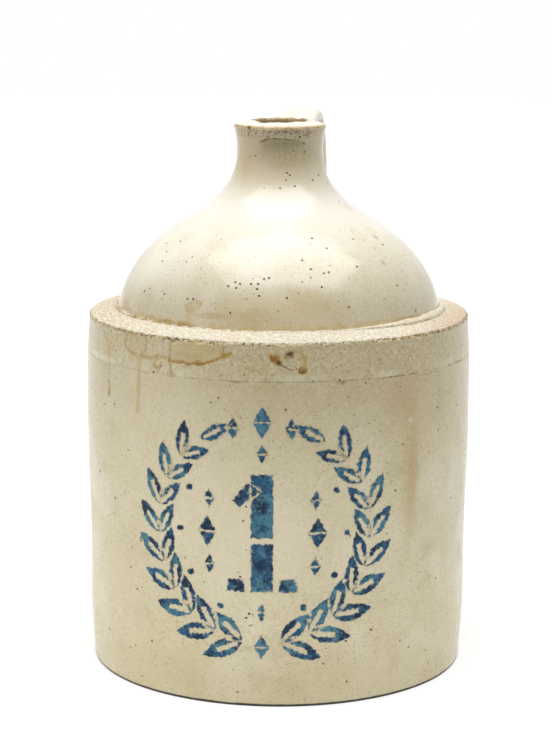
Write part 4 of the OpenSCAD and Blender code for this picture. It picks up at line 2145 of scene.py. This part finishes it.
    def lozenges(self) -> list[Piece]:
        """Lozenges beside the numeral, over it, and where the sprays cross.

        Returns:
            The flat shapes.
        """
        half = self.tab(9.4 * MM, 7.4 * MM, 0.06)
        # The middle of each lozenge in millimetres, and its scale
        middles = ((25, 0, 1), (-25, 0, 1), (24, 15, 0.62), (-24, 15, 0.62), (24, -15, 0.62),
                   (-24, -15, 0.62), (0, 50, 1), (13, 47, 0.7), (-13, 47, 0.7), (0, -52, 0.8),
                   (0, 36, 0.6), (0, -36, 0.6))
        return self.placed([(half, u * MM, v * MM, turn, scale) for u, v, scale in middles
                            for turn in (0, math.pi)])

    def note_edges(self, mark: Piece) -> None:
        """Keeps how far inside its shape's edge each vertex lies, from 0 there to 1.

        Args:
            mark: The flat drawing.
        """
        mesh = mark.data
        shared = Counter(key for face in mesh.polygons for key in face.edge_keys)
        rim = {vertex for key, faces in shared.items() if faces == 1 for vertex in key}
        tree = KDTree(len(rim))
        for index in rim:
            tree.insert(mesh.vertices[index].co, index)
        tree.balance()
        depths = [min(1.0, tree.find(v.co)[2] / self.edge_fade) for v in mesh.vertices]
        mesh.attributes.new(INWARD, "FLOAT", "POINT").data.foreach_set("value", depths)

    def lay(self, places: Array) -> None:
        """Roughens the flat drawing's edges and lays it round the wall.

        Args:
            places: The drawing's places, which it changes.
        """
        for axis in (0, 1):
            places[:, axis] += self.wobble * noise_at(places, 2.4 * MM, 20 + axis)
        turn = self.turn + places[:, 0] / self.sizes.belly_r
        z = self.middle_z + places[:, 1]
        radius = self.sizes.belly_r + MM
        places[:] = np.column_stack([radius * np.sin(turn), -radius * np.cos(turn), z])

    def build(self, wall: Piece) -> None:
        """Draws the mark, lays it on the wall and gives it a skin's thickness.

        Args:
            wall: The dressed wall.
        """
        parts = [*self.spray(1), *self.spray(-1), *self.numeral(), *self.lozenges()]
        select(*parts)
        mark = parts[0]
        bpy.ops.object.join()
        mark.name = mark.data.name = "cobalt_laurel_mark"
        self.note_edges(mark)
        shape(mark, self.lay)
        apply(mark.modifiers.new("on_the_wall", "SHRINKWRAP"), target=wall, offset=self.lift,
              wrap_method="NEAREST_SURFACEPOINT", wrap_mode="ON_SURFACE")
        apply(mark.modifiers.new("skin", "SOLIDIFY"), thickness=self.skin, offset=1)
        dress(mark, Slot.COBALT, (self.finishes.cobalt,))


@dataclass
class Studio:
    """A white sweep, one large softbox overhead and a pale room, all square to the camera."""

    photo: Photo
    floor_r: float = 4.0
    floor_gap: float = 0.02 * MM
    box_wide: float = 2.44
    box_deep: float = 1.5
    box_z: float = 1.9
    box_right: float = 0.1
    box_forward: float = 0.3
    box_level: float = 3.8
    paper_r: float = 0.34
    paper_level: float = 0.8
    floor_level: float = 0.13
    glow_r: float = 0.9
    glow_level: float = 0.68
    left_level: float = 1.1
    right_level: float = 0.5
    front_share: float = 0.42
    up_share: float = 0.4

    @property
    def front(self) -> Vector:
        """The level direction towards the camera."""
        return Vector((math.sin(self.photo.azimuth), -math.cos(self.photo.azimuth), 0))

    @property
    def right(self) -> Vector:
        """The level direction to the camera's right."""
        return Vector((math.cos(self.photo.azimuth), math.sin(self.photo.azimuth), 0))

    def build(self) -> None:
        """Builds the floor, the lamp and the world."""
        self.build_floor()
        self.build_softbox()
        self.build_world()

    def build_softbox(self) -> None:
        """Hangs the softbox over the jug, towards the camera."""
        lamp = bpy.data.lights.new("overhead_softbox", "AREA")
        lamp.shape = "RECTANGLE"
        lamp.size, lamp.size_y = self.box_wide, self.box_deep
        lamp.energy = self.box_level * math.pi * self.box_wide * self.box_deep
        softbox = bpy.data.objects.new("overhead_softbox", lamp)
        softbox.location = (self.right * self.box_right + self.front * self.box_forward
                            + UP * self.box_z)
        softbox.rotation_euler = (0, 0, self.photo.azimuth)
        softbox.visible_camera = False
        bpy.context.scene.collection.objects.link(softbox)

    def build_floor(self) -> None:
        """Lays a paper disc on a darker floor: it shows white but keeps the jug's shadow."""
        floor = started(bpy.ops.mesh.primitive_circle_add, "studio_floor", vertices=96,
                        radius=self.floor_r, fill_type="NGON", location=(0, 0, -self.floor_gap))
        bench = ClayBench("white_paper_sweep", "#ffffff")
        paper = bench.span(bench.radius(), self.paper_r * 1.3, self.paper_r, self.floor_level,
                           self.paper_level)
        lit = bench.add("BsdfDiffuse", {"Color": paper})
        shade = bench.add("BsdfDiffuse", {"Color": linear("#a0a0a0")})
        level = bench.span(bench.radius(), self.paper_r, self.glow_r, self.glow_level, 1.0)
        glow = bench.add("Emission", {"Color": linear("#ffffff"), "Strength": level})
        white = bench.add("AddShader", {0: shade, 1: glow})
        bench.add("OutputMaterial", {0: bench.backdrop(lit, white)})
        floor.data.materials.append(bench.material)

    def build_world(self) -> None:
        """Lights the room more from the left than the right, and little from the front."""
        world = bpy.data.worlds.new("pale_room")
        bpy.context.scene.world = world
        bench = Bench(world)
        way = bench.add("TexCoord").outputs["Generated"]
        ahead, across, upward = (
            bench.add("VectorMath", {0: way, 1: axis}, operation="DOT_PRODUCT"
                      ).outputs["Value"] for axis in (self.front, self.right, UP))
        level = bench.both(bench.span(across, -0.7, 0.7, self.left_level, self.right_level),
                           bench.span(ahead, 0.1, 0.85, 1, self.front_share),
                           bench.span(upward, 0.3, 0.9, 1, self.up_share))
        white = linear("#ffffff")
        room, shown = (bench.add("Background", {"Color": white, "Strength": strength})
                       for strength in (level, 1.0))
        bench.add("OutputWorld", {0: bench.backdrop(room, shown)})


def main() -> None:
    """Builds the jug's sub-assemblies in order, then the studio."""
    logging.basicConfig(level=logging.INFO, format="%(name)s: %(message)s")
    bpy.context.scene.view_settings.view_transform = "Standard"
    sizes = JugSizes.from_frame()
    body, shoulder, top = parts = Body(sizes), Shoulder(sizes), Top(sizes)
    band = [Vector((sizes.joint_r, sizes.joint_z + MM)), shoulder.corners()[1]]
    photo = Photo(Side([*body.side(), *band, *top.dome_side(), *top.collar_side()[1:],
                        top.rim()[0]]))
    photo.place_camera()
    finishes = Finishes(sizes, photo)
    for part in parts:
        part.finishes, part.photo = finishes, photo
        part.build()
    Handle(sizes, finishes).build()
    CobaltMark(sizes, finishes).build(bpy.data.objects["glazed_body_wall"])
    Studio(photo).build()


if __name__ == "__main__":
    main()
